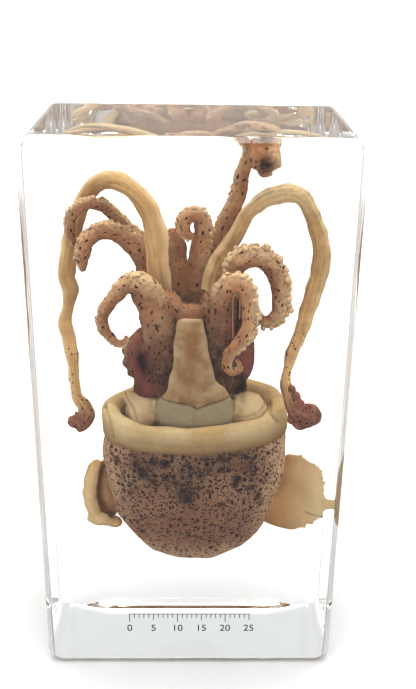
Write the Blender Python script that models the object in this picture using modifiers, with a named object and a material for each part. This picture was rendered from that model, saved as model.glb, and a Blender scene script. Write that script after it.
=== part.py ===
# A bobtail squid sealed in a clear acrylic block, modelled in Blender.
# X is across, -Y is the front face and Z is up. Values are in millimetres until a mesh is made.
import math

import bmesh
import bpy
from mathutils import Vector

MM = 0.001
GAP = 0.3

# The block, parted in two behind its middle so that the specimen lies in a pocket.
BLOCK_WIDTH = 60.0
BLOCK_DEPTH = 33.0
BLOCK_HEIGHT = 112.0
BLOCK_EDGE = 1.8
PARTING_Y = 4.0
POCKET_ROOM = 0.6
POCKET_DEPTH = 21.8
POCKET_Y = -1.9

# The mantle: a round cup, flatter front to back than it is wide.
MANTLE_X = 0.8
MANTLE_HALF_WIDTH = 18.5
MANTLE_HALF_DEPTH = 12.5
MANTLE_BOTTOM = 20.7
MANTLE_WIDEST = 48.0
MANTLE_RIM = 57.4
MANTLE_WALL = 2.4
MANTLE_SQUARENESS = 2.2
MANTLE_SIDES = 32
RIM_HEIGHT = 5.2
RIM_TILT_X = 0.8
RIM_TILT_Y = 2.4

# The head stands in the mantle's mouth.
HEAD_CENTRE = (0.2, 0.8, 67.2)
HEAD_HALF_SIZE = (11.3, 7.8, 12.8)
HEAD_SQUARENESS = 2.7
HEAD_SEGMENTS = 24
HEAD_RINGS = 16

TUBE_SIDES = 8
SUCKER_HEIGHT = 0.42

# Routes of the arms and tentacles from root to tip: x, y, z and radius.
ARM_FRONT_LEFT = [
    (-5.8, -5.2, 76.5, 2.6), (-7.8, -6.4, 81.0, 3.0), (-9.9, -7.0, 83.6, 2.6), (-12.5, -7.5, 83.5, 1.7),
    (-14.4, -8.0, 81.3, 1.4), (-16.1, -8.0, 79.1, 1.25), (-16.7, -8.0, 76.7, 1.15), (-16.2, -8.0, 74.7, 1.05),
    (-14.9, -8.0, 73.1, 0.9), (-13.7, -8.0, 72.2, 0.8), (-12.5, -8.0, 72.5, 0.65), (-12.3, -8.0, 73.3, 0.4),
]
ARM_LEFT = [
    (-8.0, 2.3, 79.5, 2.1), (-8.1, 1.9, 84.6, 2.4), (-8.7, 1.6, 87.2, 2.55), (-9.9, 1.2, 89.0, 2.4),
    (-11.4, 0.8, 90.4, 2.15), (-13.0, 0.4, 91.7, 1.9), (-14.8, 0.0, 92.5, 1.8), (-16.7, -0.4, 92.7, 1.7),
    (-18.3, -0.8, 92.0, 1.6), (-19.6, -1.0, 90.9, 1.5), (-20.2, -1.0, 89.2, 1.4), (-20.5, -1.0, 87.4, 1.25),
    (-20.7, -1.0, 85.7, 0.6),
]
ARM_BACK_LEFT = [
    (-5.4, 6.2, 78.5, 1.4), (-7.6, 6.8, 84.0, 1.4), (-9.7, 6.2, 89.0, 1.45), (-11.6, 5.6, 91.2, 1.4),
    (-13.6, 5.0, 93.3, 1.35), (-15.0, 4.4, 95.1, 1.25), (-16.4, 3.8, 96.5, 1.2), (-18.0, 2.6, 97.2, 1.15),
    (-19.6, 1.6, 97.3, 1.15), (-21.2, 0.9, 96.5, 1.1), (-22.4, 0.7, 95.1, 1.05), (-22.6, 0.9, 93.1, 1.0),
    (-22.6, 1.4, 91.3, 0.85), (-22.3, 1.8, 89.9, 0.55),
]
ARM_MID_LEFT = [
    (-2.2, 3.6, 77.0, 1.7), (-2.6, 4.8, 82.5, 1.65), (-2.9, 5.0, 85.5, 1.6), (-3.1, 5.0, 87.9, 1.45),
    (-3.6, 4.5, 89.9, 1.2), (-4.0, 4.2, 91.5, 0.95), (-4.0, 4.0, 92.8, 0.5),
]
ARM_MIDDLE = [
    (0.9, 3.4, 77.0, 1.6), (1.1, 4.3, 83.0, 1.55), (1.2, 4.2, 85.6, 1.6), (1.5, 3.8, 88.1, 1.65),
    (2.0, 3.2, 90.6, 1.6), (2.2, 2.7, 93.0, 1.4), (1.6, 2.2, 95.0, 1.2), (0.1, 1.8, 95.8, 1.1),
    (-1.3, 1.4, 95.1, 1.05), (-1.9, 1.1, 93.5, 1.0), (-1.4, 0.9, 92.0, 0.9), (-0.3, 0.8, 91.6, 0.55),
]
ARM_TALL = [
    (3.6, 5.0, 77.5, 1.7), (4.4, 6.2, 83.0, 1.65), (4.7, 6.2, 87.3, 1.65), (5.2, 6.0, 90.3, 1.65),
    (6.0, 5.6, 92.8, 1.65), (7.2, 5.0, 95.4, 1.65), (8.3, 4.5, 98.0, 1.6), (8.8, 4.0, 100.3, 1.5),
    (9.0, 3.5, 102.6, 1.35), (9.7, 3.0, 104.7, 1.25), (10.4, 2.4, 106.7, 1.25), (11.0, 1.4, 107.9, 1.3),
    (11.9, -0.6, 108.5, 1.5), (12.6, -2.4, 107.9, 1.9), (12.8, -3.2, 106.4, 2.2), (12.8, -3.5, 104.6, 2.0),
    (12.9, -3.5, 103.6, 1.1),
]
ARM_RIGHT = [
    (6.8, -0.6, 78.0, 1.8), (7.5, -1.9, 83.6, 1.9), (8.0, -2.5, 86.5, 2.1), (9.5, -2.8, 88.1, 2.25),
    (11.5, -2.6, 88.4, 2.2), (13.6, -2.3, 87.8, 2.1), (15.3, -2.0, 86.0, 2.0), (16.4, -1.8, 83.6, 1.85),
    (16.9, -1.8, 81.2, 1.8), (17.0, -1.9, 78.8, 1.75), (16.5, -2.0, 76.6, 1.6), (15.0, -2.0, 75.2, 1.4),
    (13.5, -2.0, 75.6, 1.1), (12.7, -2.0, 77.0, 0.5),
]
ARM_FRONT_RIGHT = [
    (5.2, -5.4, 76.0, 2.6), (5.7, -6.4, 80.4, 2.8), (6.7, -7.2, 83.4, 2.5), (8.5, -7.8, 84.3, 2.2),
    (10.0, -8.5, 82.6, 1.8), (10.6, -9.2, 79.7, 1.6), (10.7, -9.6, 76.6, 1.6), (9.6, -10.2, 74.0, 1.45),
    (8.2, -10.6, 72.2, 1.3), (6.9, -10.8, 70.5, 1.1), (6.8, -10.8, 68.6, 1.0), (7.9, -10.8, 67.3, 0.95),
    (9.1, -10.8, 68.2, 0.75), (8.7, -10.8, 69.4, 0.45),
]
TENTACLE_LEFT = [
    (-4.5, -1.0, 77.0, 1.5), (-5.4, -1.5, 82.2, 1.55), (-6.0, -2.4, 86.4, 1.7), (-6.1, -3.0, 89.9, 1.7),
    (-6.6, -3.0, 93.7, 1.6), (-8.2, -2.5, 97.9, 1.5), (-10.6, -1.5, 100.5, 1.5), (-12.9, -0.2, 101.9, 1.5),
    (-15.2, 1.6, 102.2, 1.5), (-17.5, 3.6, 100.9, 1.55), (-20.1, 5.0, 97.6, 1.5), (-21.8, 5.4, 93.2, 1.6),
    (-23.1, 5.2, 88.7, 1.6), (-23.8, 4.6, 84.6, 1.7), (-24.1, 4.0, 82.3, 1.45), (-23.3, 3.5, 80.0, 1.55),
    (-23.9, 2.5, 76.4, 1.2), (-24.5, 1.5, 73.7, 1.3), (-23.6, 0.0, 70.6, 1.3), (-23.0, -2.0, 66.5, 1.15),
    (-22.7, -3.5, 62.7, 1.0), (-22.2, -4.5, 59.8, 1.2), (-20.8, -5.0, 57.8, 1.4), (-20.5, -5.0, 55.9, 1.6),
    (-21.8, -5.2, 54.6, 1.75), (-23.3, -5.3, 54.0, 1.0),
]
TENTACLE_RIGHT = [
    (2.9, 0.2, 77.0, 1.5), (3.6, 1.2, 81.7, 1.7), (4.7, 1.8, 86.0, 1.65), (6.4, 1.8, 88.6, 1.6),
    (7.8, 1.5, 90.9, 1.5), (9.9, 0.5, 95.5, 1.4), (11.7, 0.0, 97.5, 1.55), (13.4, 0.0, 98.8, 1.6),
    (15.8, 0.0, 99.7, 1.8), (18.1, 0.0, 99.9, 1.7), (20.2, 0.0, 99.0, 1.5), (22.1, 0.5, 96.0, 1.5),
    (23.6, 1.0, 92.1, 1.7), (24.4, 1.0, 88.4, 1.8), (24.3, 1.0, 85.0, 1.85), (23.3, 0.5, 80.9, 1.7),
    (22.2, -0.5, 76.7, 1.6), (20.8, -2.0, 72.1, 1.35), (19.5, -3.5, 68.6, 1.1), (18.7, -5.0, 65.4, 0.85),
    (18.7, -6.2, 63.4, 1.0), (19.6, -7.0, 61.2, 1.4), (20.8, -7.4, 58.9, 1.9), (22.2, -7.4, 57.2, 2.3),
    (24.0, -7.2, 56.8, 1.5),
]

# Node name, route, rings along it, the side its suckers are on (1 left, -1 right, 0 none) and colour.
LIMBS = [
    ("arm_front_left", ARM_FRONT_LEFT, 24, -1, (0.60, 0.38, 0.24)),
    ("arm_left", ARM_LEFT, 24, -1, (0.58, 0.37, 0.24)),
    ("arm_back_left", ARM_BACK_LEFT, 28, -1, (0.52, 0.34, 0.24)),
    ("arm_mid_left", ARM_MID_LEFT, 14, 1, (0.52, 0.34, 0.22)),
    ("arm_middle", ARM_MIDDLE, 26, -1, (0.55, 0.38, 0.26)),
    ("arm_tall", ARM_TALL, 34, 1, (0.52, 0.34, 0.23)),
    ("arm_right", ARM_RIGHT, 28, 1, (0.58, 0.40, 0.26)),
    ("arm_front_right", ARM_FRONT_RIGHT, 30, 1, (0.60, 0.40, 0.26)),
    ("tentacle_left", TENTACLE_LEFT, 40, 0, (0.66, 0.52, 0.30)),
    ("tentacle_right", TENTACLE_RIGHT, 40, 0, (0.68, 0.54, 0.32)),
]

# Outlines as x and z: the flat right fin, and the clear space round the arms and tentacles.
FIN_RIGHT_OUTLINE = [
    (10.0, 31.0), (15.3, 28.2), (17.5, 27.2), (19.9, 26.5), (22.5, 26.2), (25.1, 27.4), (27.1, 28.7),
    (28.2, 30.1), (28.7, 31.6), (28.6, 33.8), (28.0, 36.0), (28.2, 38.1), (27.3, 40.9), (26.2, 42.4),
    (24.7, 44.0), (22.6, 44.9), (20.6, 44.5), (19.0, 43.4), (10.0, 42.0),
]
FIN_RIGHT_Y = 3.0
FIN_THICKNESS = 1.2
FINS_POCKET_OUTLINE = [(-23.2, 26.0), (0.0, 24.0), (24.0, 25.0), (29.2, 28.5), (29.2, 40.0), (26.0, 46.0),
                       (0.0, 50.0), (-20.0, 45.5), (-23.2, 40.0)]
FINS_POCKET_DEPTH = 9.0

# The left fin curls forward round an upright line beside the mantle.
FIN_LEFT_STEPS = 9
FIN_LEFT_TOP = 42.8
FIN_LEFT_BOTTOM = 29.0
FIN_LEFT_REACH = 6.0
FIN_LEFT_Y = 0.6
FIN_LEFT_HALF_DEPTH = 2.8
FIN_LEFT_CURL = 160.0
POCKET_OUTLINE = [
    (-16.5, 50.0), (16.5, 50.0), (25.6, 53.0), (26.6, 60.0), (24.0, 70.0), (27.6, 86.0), (27.0, 95.0),
    (22.5, 102.5), (16.0, 103.0), (16.0, 110.8), (9.0, 110.8), (4.5, 101.0), (-6.0, 101.0), (-12.0, 104.9),
    (-17.0, 104.6), (-24.5, 98.0), (-26.5, 88.0), (-27.4, 78.0), (-26.2, 60.0), (-25.6, 52.0),
]

# Swellings of the head: centre, reach and height. A negative height is a dent.
HEAD_LUMPS = [
    ((-11.5, -0.5, 66.0), 4.2, 1.5),
    ((11.8, -0.5, 66.0), 4.2, 1.1),
    ((-6.8, -6.0, 73.0), 4.5, 1.0),
    ((7.0, -6.0, 73.0), 4.5, 1.0),
    ((-0.9, -3.0, 80.0), 2.8, -2.4),
]

# The funnel from its mouth down: x, y, z, half width, and thickness over width.
FUNNEL_STATIONS = [
    (-0.15, -8.6, 77.9, 2.3, 0.62), (-0.15, -8.8, 76.2, 2.8, 0.62), (-0.1, -8.9, 73.5, 3.2, 0.62),
    (0.1, -8.9, 69.5, 3.7, 0.62), (0.15, -8.8, 66.0, 4.3, 0.60), (0.3, -8.4, 63.0, 5.6, 0.52),
    (0.7, -8.0, 60.5, 7.2, 0.42), (0.7, -7.6, 58.0, 7.2, 0.42), (0.7, -7.2, 56.0, 5.0, 0.50),
]
FUNNEL_BORE_DEPTH = 3.0
FUNNEL_WALL = 0.7
COLLAR_CENTRE = (0.9, -0.4, 56.0)
COLLAR_HALF_SIZE = (14.2, 9.6, 5.0)


def clear_scene():
    for obj in list(bpy.data.objects):
        bpy.data.objects.remove(obj, do_unlink=True)


def add_collection(name):
    collection = bpy.data.collections.new(name)
    bpy.context.scene.collection.children.link(collection)
    return collection


def make_material(name, colour, roughness, transmission=0.0):
    material = bpy.data.materials.new(name)
    material.use_nodes = True
    shader = material.node_tree.nodes["Principled BSDF"]
    shader.inputs["Base Color"].default_value = (*colour, 1.0)
    shader.inputs["Roughness"].default_value = roughness
    shader.inputs["Metallic"].default_value = 0.0
    shader.inputs["Transmission Weight"].default_value = transmission
    material.diffuse_color = (*colour, 1.0)
    return material


def add_object(name, mesh, collection, material=None):
    obj = bpy.data.objects.new(name, mesh)
    collection.objects.link(obj)
    if material:
        mesh.materials.append(material)
    return obj


def mesh_from(bm, name, smooth=True):
    # The bmesh is in millimetres up to here, and the mesh is in metres.
    bmesh.ops.scale(bm, vec=(MM, MM, MM), verts=bm.verts)
    bmesh.ops.recalc_face_normals(bm, faces=bm.faces)
    mesh = bpy.data.meshes.new(name)
    bm.to_mesh(mesh)
    bm.free()
    if smooth:
        mesh.shade_smooth()
        mesh.set_sharp_from_angle(angle=math.radians(50))
    return mesh


def add_cutter(name, mesh, collection):
    cutter = add_object(name, mesh, collection)
    cutter.hide_render = True
    cutter.display_type = "WIRE"
    return cutter


def grown_copy(obj, amount, collection):
    # A copy with every point moved out along its normal, to cut a neighbour with a gap.
    bm = bmesh.new()
    bm.from_mesh(obj.data)
    bm.normal_update()
    for vertex, normal in [(vertex, vertex.normal.copy()) for vertex in bm.verts]:
        vertex.co += normal * amount * MM
    mesh = bpy.data.meshes.new(obj.name + "_grown")
    bm.to_mesh(mesh)
    bm.free()
    return add_cutter(obj.name + "_grown", mesh, collection)


def boolean(obj, other, operation="DIFFERENCE"):
    modifier = obj.modifiers.new(operation.title() + " " + other.name, "BOOLEAN")
    modifier.operation = operation
    modifier.solver = "EXACT"
    modifier.object = other


def evaluated_mesh(obj):
    depsgraph = bpy.context.evaluated_depsgraph_get()
    return bpy.data.meshes.new_from_object(obj.evaluated_get(depsgraph))


def catmull_rom(before, start, end, after, t):
    return 0.5 * (
        2 * start
        + (end - before) * t
        + (2 * before - 5 * start + 4 * end - after) * t * t
        + (3 * start - before - 3 * end + after) * t ** 3
    )


def smooth_route(points, count):
    # Stations on one smooth curve through the route's own points, radius included.
    spans = len(points) - 1
    stations = []
    for index in range(count):
        place = index * spans / (count - 1)
        span = min(int(place), spans - 1)
        near = [points[min(max(span + step, 0), spans)] for step in (-1, 0, 1, 2)]
        stations.append([catmull_rom(*values, place - span) for values in zip(*near)])
    return stations


def tube_mesh(name, stations):
    curve = bpy.data.curves.new(name, "CURVE")
    curve.dimensions = "3D"
    curve.bevel_depth = MM
    curve.bevel_resolution = (TUBE_SIDES - 4) // 2
    curve.use_fill_caps = True
    spline = curve.splines.new("POLY")
    spline.points.add(len(stations) - 1)
    for point, station in zip(spline.points, stations):
        point.co = (station[0] * MM, station[1] * MM, station[2] * MM, 1.0)
        point.radius = station[3]
    guide = bpy.data.objects.new(name + "_guide", curve)
    bpy.context.scene.collection.objects.link(guide)
    bpy.context.view_layer.update()
    mesh = evaluated_mesh(guide)
    mesh.transform(guide.matrix_world)
    bpy.data.objects.remove(guide, do_unlink=True)
    bpy.data.curves.remove(curve)
    return mesh


def weld(mesh):
    bm = bmesh.new()
    bm.from_mesh(mesh)
    bmesh.ops.remove_doubles(bm, verts=bm.verts, dist=0.01 * MM)
    bmesh.ops.recalc_face_normals(bm, faces=bm.faces)
    bm.to_mesh(mesh)
    bm.free()
    mesh.shade_smooth()


def raise_suckers(mesh, stations, side):
    # Two rows of knobs, one on every other ring, on one side of the arm.
    for ring in range(3, len(stations) - 1):
        centre = Vector(stations[ring][:3]) * MM
        tangent = Vector(stations[ring + 1][:3]) - Vector(stations[ring - 1][:3])
        outward = Vector((-tangent.z, 0.0, tangent.x)).normalized() * side
        across = tangent.cross(outward).normalized() * (1 if ring % 2 else -1)
        row = (outward * 0.85 + across * 0.5).normalized()
        first = len(mesh.vertices) - (len(stations) - ring) * TUBE_SIDES
        for vertex in mesh.vertices[first:first + TUBE_SIDES]:
            direction = (vertex.co - centre).normalized()
            if direction.dot(row) > 0.86:
                vertex.co += direction * SUCKER_HEIGHT * min(1.0, stations[ring][3] / 1.4) * MM


def make_limb(name, route, rings, side, colour, collection, head_cutter):
    stations = smooth_route(route, rings)
    mesh = tube_mesh(name, stations)
    if side:
        raise_suckers(mesh, stations, side)
    weld(mesh)
    limb = add_object(name, mesh, collection, make_material(name, colour, 0.5))
    boolean(limb, head_cutter)
    return limb


def bag_half_width(z):
    # The round bag below the mantle's widest line, a little squarer than an ellipse.
    depth = (MANTLE_WIDEST - z) / (MANTLE_WIDEST - MANTLE_BOTTOM)
    reach = (1.0 - max(depth, 0.0) ** MANTLE_SQUARENESS) ** (1.0 / MANTLE_SQUARENESS)
    return MANTLE_HALF_WIDTH * reach


def bag_profile(steps):
    # Half widths and heights down the outside of the bag, closer together near the bottom.
    height = MANTLE_WIDEST - MANTLE_BOTTOM
    heights = [MANTLE_WIDEST - height * math.sin(0.5 * math.pi * step / steps) for step in range(steps)]
    return [(bag_half_width(z), z) for z in heights] + [(0.0, MANTLE_BOTTOM)]


def squash_mantle(mesh, grow=0.0):
    # Flatter front to back, off centre, with the mouth tilted up to the back and the right.
    for vertex in mesh.vertices:
        x, y, z = vertex.co / MM
        y *= (MANTLE_HALF_DEPTH + grow) / (MANTLE_HALF_WIDTH + grow)
        lift = max(0.0, (z - 40.0) / (MANTLE_RIM - 40.0))
        z += lift * (RIM_TILT_X * x / MANTLE_HALF_WIDTH + RIM_TILT_Y * y / MANTLE_HALF_DEPTH)
        vertex.co = Vector((x + MANTLE_X, y, z)) * MM


def screw_mesh(name, profile, steps):
    bm = bmesh.new()
    verts = [bm.verts.new((x, 0.0, z)) for x, z in profile]
    for start, end in zip(verts, verts[1:]):
        bm.edges.new((start, end))
    bmesh.ops.scale(bm, vec=(MM, MM, MM), verts=bm.verts)
    mesh = bpy.data.meshes.new(name)
    bm.to_mesh(mesh)
    bm.free()
    guide = bpy.data.objects.new(name + "_guide", mesh)
    bpy.context.scene.collection.objects.link(guide)
    screw = guide.modifiers.new("Turn", "SCREW")
    screw.steps = steps
    screw.render_steps = steps
    screw.use_merge_vertices = True
    screw.merge_threshold = 0.00001
    bpy.context.view_layer.update()
    turned = evaluated_mesh(guide)
    bpy.data.objects.remove(guide, do_unlink=True)
    weld(turned)
    return turned


def make_mantle(collection):
    hem_top = MANTLE_RIM - RIM_HEIGHT
    wide = MANTLE_HALF_WIDTH
    inner = wide - MANTLE_WALL
    mouth = [
        (0.0, hem_top - 1.8), (inner - 4.0, hem_top - 1.8), (inner - 0.8, hem_top - 0.4), (inner, 54.0),
        (inner + 0.4, MANTLE_RIM - 0.7), (inner + 1.2, MANTLE_RIM), (wide - 0.4, MANTLE_RIM - 0.4),
        (wide + 0.1, MANTLE_RIM - 1.6), (wide + 0.3, 54.0), (wide + 0.3, hem_top + 0.3), (wide, hem_top - 0.2),
    ]
    mesh = screw_mesh("mantle", mouth + bag_profile(9), MANTLE_SIDES)
    squash_mantle(mesh)
    return add_object("mantle", mesh, collection, make_material("mantle", (0.42, 0.30, 0.25), 0.45))


def mantle_solid(name, grow, top, cutters):
    # The mantle's outside as one plain solid, grown all round, to cut what lies against it.
    outer = [(half + grow * (1.0 if half else 0.0), z) for half, z in bag_profile(7)[:-1]]
    top_half = MANTLE_HALF_WIDTH + 0.45 + grow
    profile = [(0.0, top), (top_half, top), (top_half, 50.0)] + outer + [(0.0, MANTLE_BOTTOM - grow)]
    mesh = screw_mesh(name, profile, 24)
    squash_mantle(mesh, grow)
    return add_cutter(name, mesh, cutters)


def flat_outline(name, outline, y, thickness, bevel=0.0):
    # A flat outline in X and Z, thickened along Y, its two rims softened.
    bm = bmesh.new()
    face = bm.faces.new([bm.verts.new((x, y - thickness / 2, z)) for x, z in outline])
    grown = bmesh.ops.extrude_face_region(bm, geom=[face])
    back = [item for item in grown["geom"] if isinstance(item, bmesh.types.BMVert)]
    bmesh.ops.translate(bm, vec=(0.0, thickness, 0.0), verts=back)
    if bevel:
        rims = [edge for edge in bm.edges if abs(edge.verts[0].co.y - edge.verts[1].co.y) < 0.01]
        bmesh.ops.bevel(bm, geom=rims, offset=bevel, segments=1, profile=0.5, affect="EDGES")
    return mesh_from(bm, name)


def make_fin_right(collection, mantle_cutter):
    mesh = flat_outline("fin_right", FIN_RIGHT_OUTLINE, FIN_RIGHT_Y, FIN_THICKNESS, 0.4)
    fin = add_object("fin_right", mesh, collection, make_material("fin_right", (0.72, 0.52, 0.32), 0.45))
    boolean(fin, mantle_cutter)
    return fin


def make_fin_left(collection, mantle_cutter):
    # A sheet that leaves the mantle's side, goes out and curls forward, open to the right.
    bm = bmesh.new()
    bmesh.ops.create_grid(bm, x_segments=FIN_LEFT_STEPS, y_segments=FIN_LEFT_STEPS, size=0.5)
    for vertex in bm.verts:
        around = vertex.co.x + 0.5
        down = vertex.co.y + 0.5
        z = FIN_LEFT_TOP + (FIN_LEFT_BOTTOM - FIN_LEFT_TOP) * down
        root = MANTLE_X - bag_half_width(z) + 0.2
        reach = FIN_LEFT_REACH * math.sin(math.pi * (0.12 + 0.80 * down)) ** 0.5 * (0.72 + 0.36 * down)
        angle = math.radians(FIN_LEFT_CURL) * around
        vertex.co.x = root - reach * math.sin(angle)
        vertex.co.y = FIN_LEFT_Y + FIN_LEFT_HALF_DEPTH * math.cos(angle)
        vertex.co.z = z
    fin = add_object("fin_left", mesh_from(bm, "fin_left"), collection,
                     make_material("fin_left", (0.62, 0.44, 0.28), 0.45))
    shell = fin.modifiers.new("Thickness", "SOLIDIFY")
    shell.thickness = FIN_THICKNESS * MM
    shell.offset = 0.0
    boolean(fin, mantle_cutter)
    return fin


def make_head(collection):
    bm = bmesh.new()
    bmesh.ops.create_uvsphere(bm, u_segments=HEAD_SEGMENTS, v_segments=HEAD_RINGS, radius=1.0)
    for vertex in bm.verts:
        reach = sum(abs(value) ** HEAD_SQUARENESS for value in vertex.co) ** (1.0 / HEAD_SQUARENESS)
        vertex.co /= reach
    bmesh.ops.scale(bm, vec=HEAD_HALF_SIZE, verts=bm.verts)
    bmesh.ops.translate(bm, vec=HEAD_CENTRE, verts=bm.verts)
    for centre, reach, height in HEAD_LUMPS:
        bm.normal_update()
        for vertex, normal in [(vertex, vertex.normal.copy()) for vertex in bm.verts]:
            distance = (vertex.co - Vector(centre)).length
            vertex.co += normal * height * math.exp(-(distance / reach) ** 2)
    mesh = mesh_from(bm, "head")
    return add_object("head", mesh, collection, make_material("head", (0.45, 0.27, 0.20), 0.4))


def funnel_tube():
    # A flattened tube with an open mouth, wide where it joins the collar.
    mesh = tube_mesh("funnel", [station[:4] for station in FUNNEL_STATIONS])
    weld(mesh)
    bm = bmesh.new()
    bm.from_mesh(mesh)
    bmesh.ops.scale(bm, vec=(1 / MM, 1 / MM, 1 / MM), verts=bm.verts)
    mouth = max(bm.faces, key=lambda face: face.calc_center_median().z)
    bmesh.ops.inset_region(bm, faces=[mouth], thickness=FUNNEL_WALL)
    bmesh.ops.translate(bm, vec=(0.0, 0.0, -FUNNEL_BORE_DEPTH), verts=mouth.verts)
    for vertex in bm.verts:
        near = min(FUNNEL_STATIONS, key=lambda station: abs(station[2] - vertex.co.z))
        vertex.co.y = near[1] + (vertex.co.y - near[1]) * near[4]
    return mesh_from(bm, "funnel")


def make_funnel(collection, cutters, head_cutter):
    bm = bmesh.new()
    bmesh.ops.create_uvsphere(bm, u_segments=28, v_segments=10, radius=1.0)
    bmesh.ops.scale(bm, vec=COLLAR_HALF_SIZE, verts=bm.verts)
    bmesh.ops.translate(bm, vec=COLLAR_CENTRE, verts=bm.verts)
    collar = mesh_from(bm, "funnel")
    funnel = add_object("funnel", collar, collection, make_material("funnel", (0.66, 0.55, 0.38), 0.35))
    boolean(funnel, add_cutter("funnel_tube", funnel_tube(), cutters), "UNION")
    boolean(funnel, head_cutter)
    return funnel


def make_block_half(name, side, collection, pocket):
    bm = bmesh.new()
    bmesh.ops.create_cube(bm, size=1.0)
    bmesh.ops.scale(bm, vec=(BLOCK_WIDTH, BLOCK_DEPTH, BLOCK_HEIGHT), verts=bm.verts)
    bmesh.ops.translate(bm, vec=(0.0, 0.0, BLOCK_HEIGHT / 2), verts=bm.verts)
    bmesh.ops.bevel(bm, geom=bm.edges, offset=BLOCK_EDGE, segments=3, profile=0.5, affect="EDGES")
    geometry = bm.verts[:] + bm.edges[:] + bm.faces[:]
    parting = (0.0, PARTING_Y + side * GAP / 2, 0.0)
    cut = bmesh.ops.bisect_plane(bm, geom=geometry, plane_co=parting, plane_no=(0.0, -side, 0.0),
                                 clear_outer=True)
    edges = [item for item in cut["geom_cut"] if isinstance(item, bmesh.types.BMEdge)]
    bmesh.ops.contextual_create(bm, geom=edges)
    mesh = mesh_from(bm, name, smooth=False)
    half = add_object(name, mesh, collection, make_material(name, (0.97, 0.98, 0.99), 0.0, 1.0))
    for cutter in pocket:
        boolean(half, cutter)
    return half


def build():
    clear_scene()
    parts = add_collection("bobtail_squid_in_acrylic_block")
    cutters = add_collection("cutters")
    make_mantle(parts)
    mantle_cutter = mantle_solid("mantle_clearance", GAP, MANTLE_RIM + 2.6, cutters)
    make_fin_left(parts, mantle_cutter)
    make_fin_right(parts, mantle_cutter)
    head = make_head(parts)
    head_cutter = grown_copy(head, GAP, cutters)
    make_funnel(parts, cutters, head_cutter)
    for limb in LIMBS:
        make_limb(*limb, parts, head_cutter)
    pocket = [
        mantle_solid("mantle_pocket", POCKET_ROOM, MANTLE_RIM + 3.2, cutters),
        add_cutter("arms_pocket", flat_outline("arms_pocket", POCKET_OUTLINE, POCKET_Y, POCKET_DEPTH),
                   cutters),
        add_cutter("fins_pocket", flat_outline("fins_pocket", FINS_POCKET_OUTLINE, FIN_LEFT_Y,
                                               FINS_POCKET_DEPTH), cutters),
    ]
    make_block_half("block_front", -1, parts, pocket)
    make_block_half("block_back", 1, parts, pocket)


build()
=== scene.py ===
import math
import random

import bmesh
import bpy
from mathutils import Matrix, Vector, noise


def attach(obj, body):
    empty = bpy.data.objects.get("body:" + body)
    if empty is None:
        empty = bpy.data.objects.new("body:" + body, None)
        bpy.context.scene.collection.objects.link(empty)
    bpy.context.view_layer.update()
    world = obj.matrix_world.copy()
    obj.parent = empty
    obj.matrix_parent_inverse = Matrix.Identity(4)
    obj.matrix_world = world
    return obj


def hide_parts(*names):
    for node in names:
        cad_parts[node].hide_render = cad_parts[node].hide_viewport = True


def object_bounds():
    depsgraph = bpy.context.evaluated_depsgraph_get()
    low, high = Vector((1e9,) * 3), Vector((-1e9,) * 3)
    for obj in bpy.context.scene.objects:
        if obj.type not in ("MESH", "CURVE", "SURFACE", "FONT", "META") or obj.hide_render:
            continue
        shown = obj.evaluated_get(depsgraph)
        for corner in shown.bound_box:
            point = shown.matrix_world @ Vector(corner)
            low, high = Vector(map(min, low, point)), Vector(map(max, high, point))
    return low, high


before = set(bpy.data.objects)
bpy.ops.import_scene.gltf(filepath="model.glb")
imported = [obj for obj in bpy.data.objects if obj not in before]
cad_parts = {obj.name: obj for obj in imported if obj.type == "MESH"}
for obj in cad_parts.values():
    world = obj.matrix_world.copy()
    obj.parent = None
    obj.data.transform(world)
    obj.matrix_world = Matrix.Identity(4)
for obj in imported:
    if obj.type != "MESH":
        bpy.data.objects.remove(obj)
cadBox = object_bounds()
mm = 0.001
print("Frame loaded")


# Camera

cameraSet = {
    "place": (-0.721, -172.622, 143.068),
    "yaw": 1.3623,
    "pitch": 23.7261,
    "roll": 0.9130,
    "lens": 48.83,
}


def addCamera():
    data = bpy.data.cameras.new("camera")
    data.lens = cameraSet["lens"]
    data.clip_start = 0.01
    camera = bpy.data.objects.new("camera", data)
    bpy.context.scene.collection.objects.link(camera)
    camera.location = Vector(cameraSet["place"]) * mm
    turn = Matrix.Rotation(-math.radians(cameraSet["yaw"]), 4, "Z")
    turn = turn @ Matrix.Rotation(math.radians(90.0 - cameraSet["pitch"]), 4, "X")
    turn = turn @ Matrix.Rotation(math.radians(cameraSet["roll"]), 4, "Z")
    camera.rotation_euler = turn.to_euler()
    bpy.context.scene.camera = camera


addCamera()


# Shape helpers

def clamp(value):
    return min(1.0, max(0.0, value))


def addObject(name, data):
    added = bpy.data.objects.new(name, data)
    bpy.context.scene.collection.objects.link(added)
    return added


def catmullRom(before, start, end, after, t):
    return 0.5 * (
        2 * start
        + (end - before) * t
        + (2 * before - 5 * start + 4 * end - after) * t * t
        + (3 * start - before - 3 * end + after) * t ** 3
    )


def smoothRoute(points, step):
    # Stations about one step apart on a smooth curve through a route's own points
    stations = []
    last = len(points) - 1
    for index in range(last):
        near = [points[min(max(index + shift, 0), last)] for shift in (-1, 0, 1, 2)]
        length = (Vector(near[2][:3]) - Vector(near[1][:3])).length
        count = max(1, round(length / step))
        for part in range(count):
            stations.append([catmullRom(*values, part / count) for values in zip(*near)])
    stations.append(list(points[-1]))
    return stations


def roundTip(stations):
    # The tip closes like a dome
    end = Vector(stations[-1][:3])
    along = (end - Vector(stations[-2][:3])).normalized()
    radius = stations[-1][3]
    domed = []
    for degrees in (25, 50, 70, 85):
        angle = math.radians(degrees)
        place = end + along * radius * math.sin(angle)
        domed.append([*place, radius * math.cos(angle)])
    return stations + domed


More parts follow.
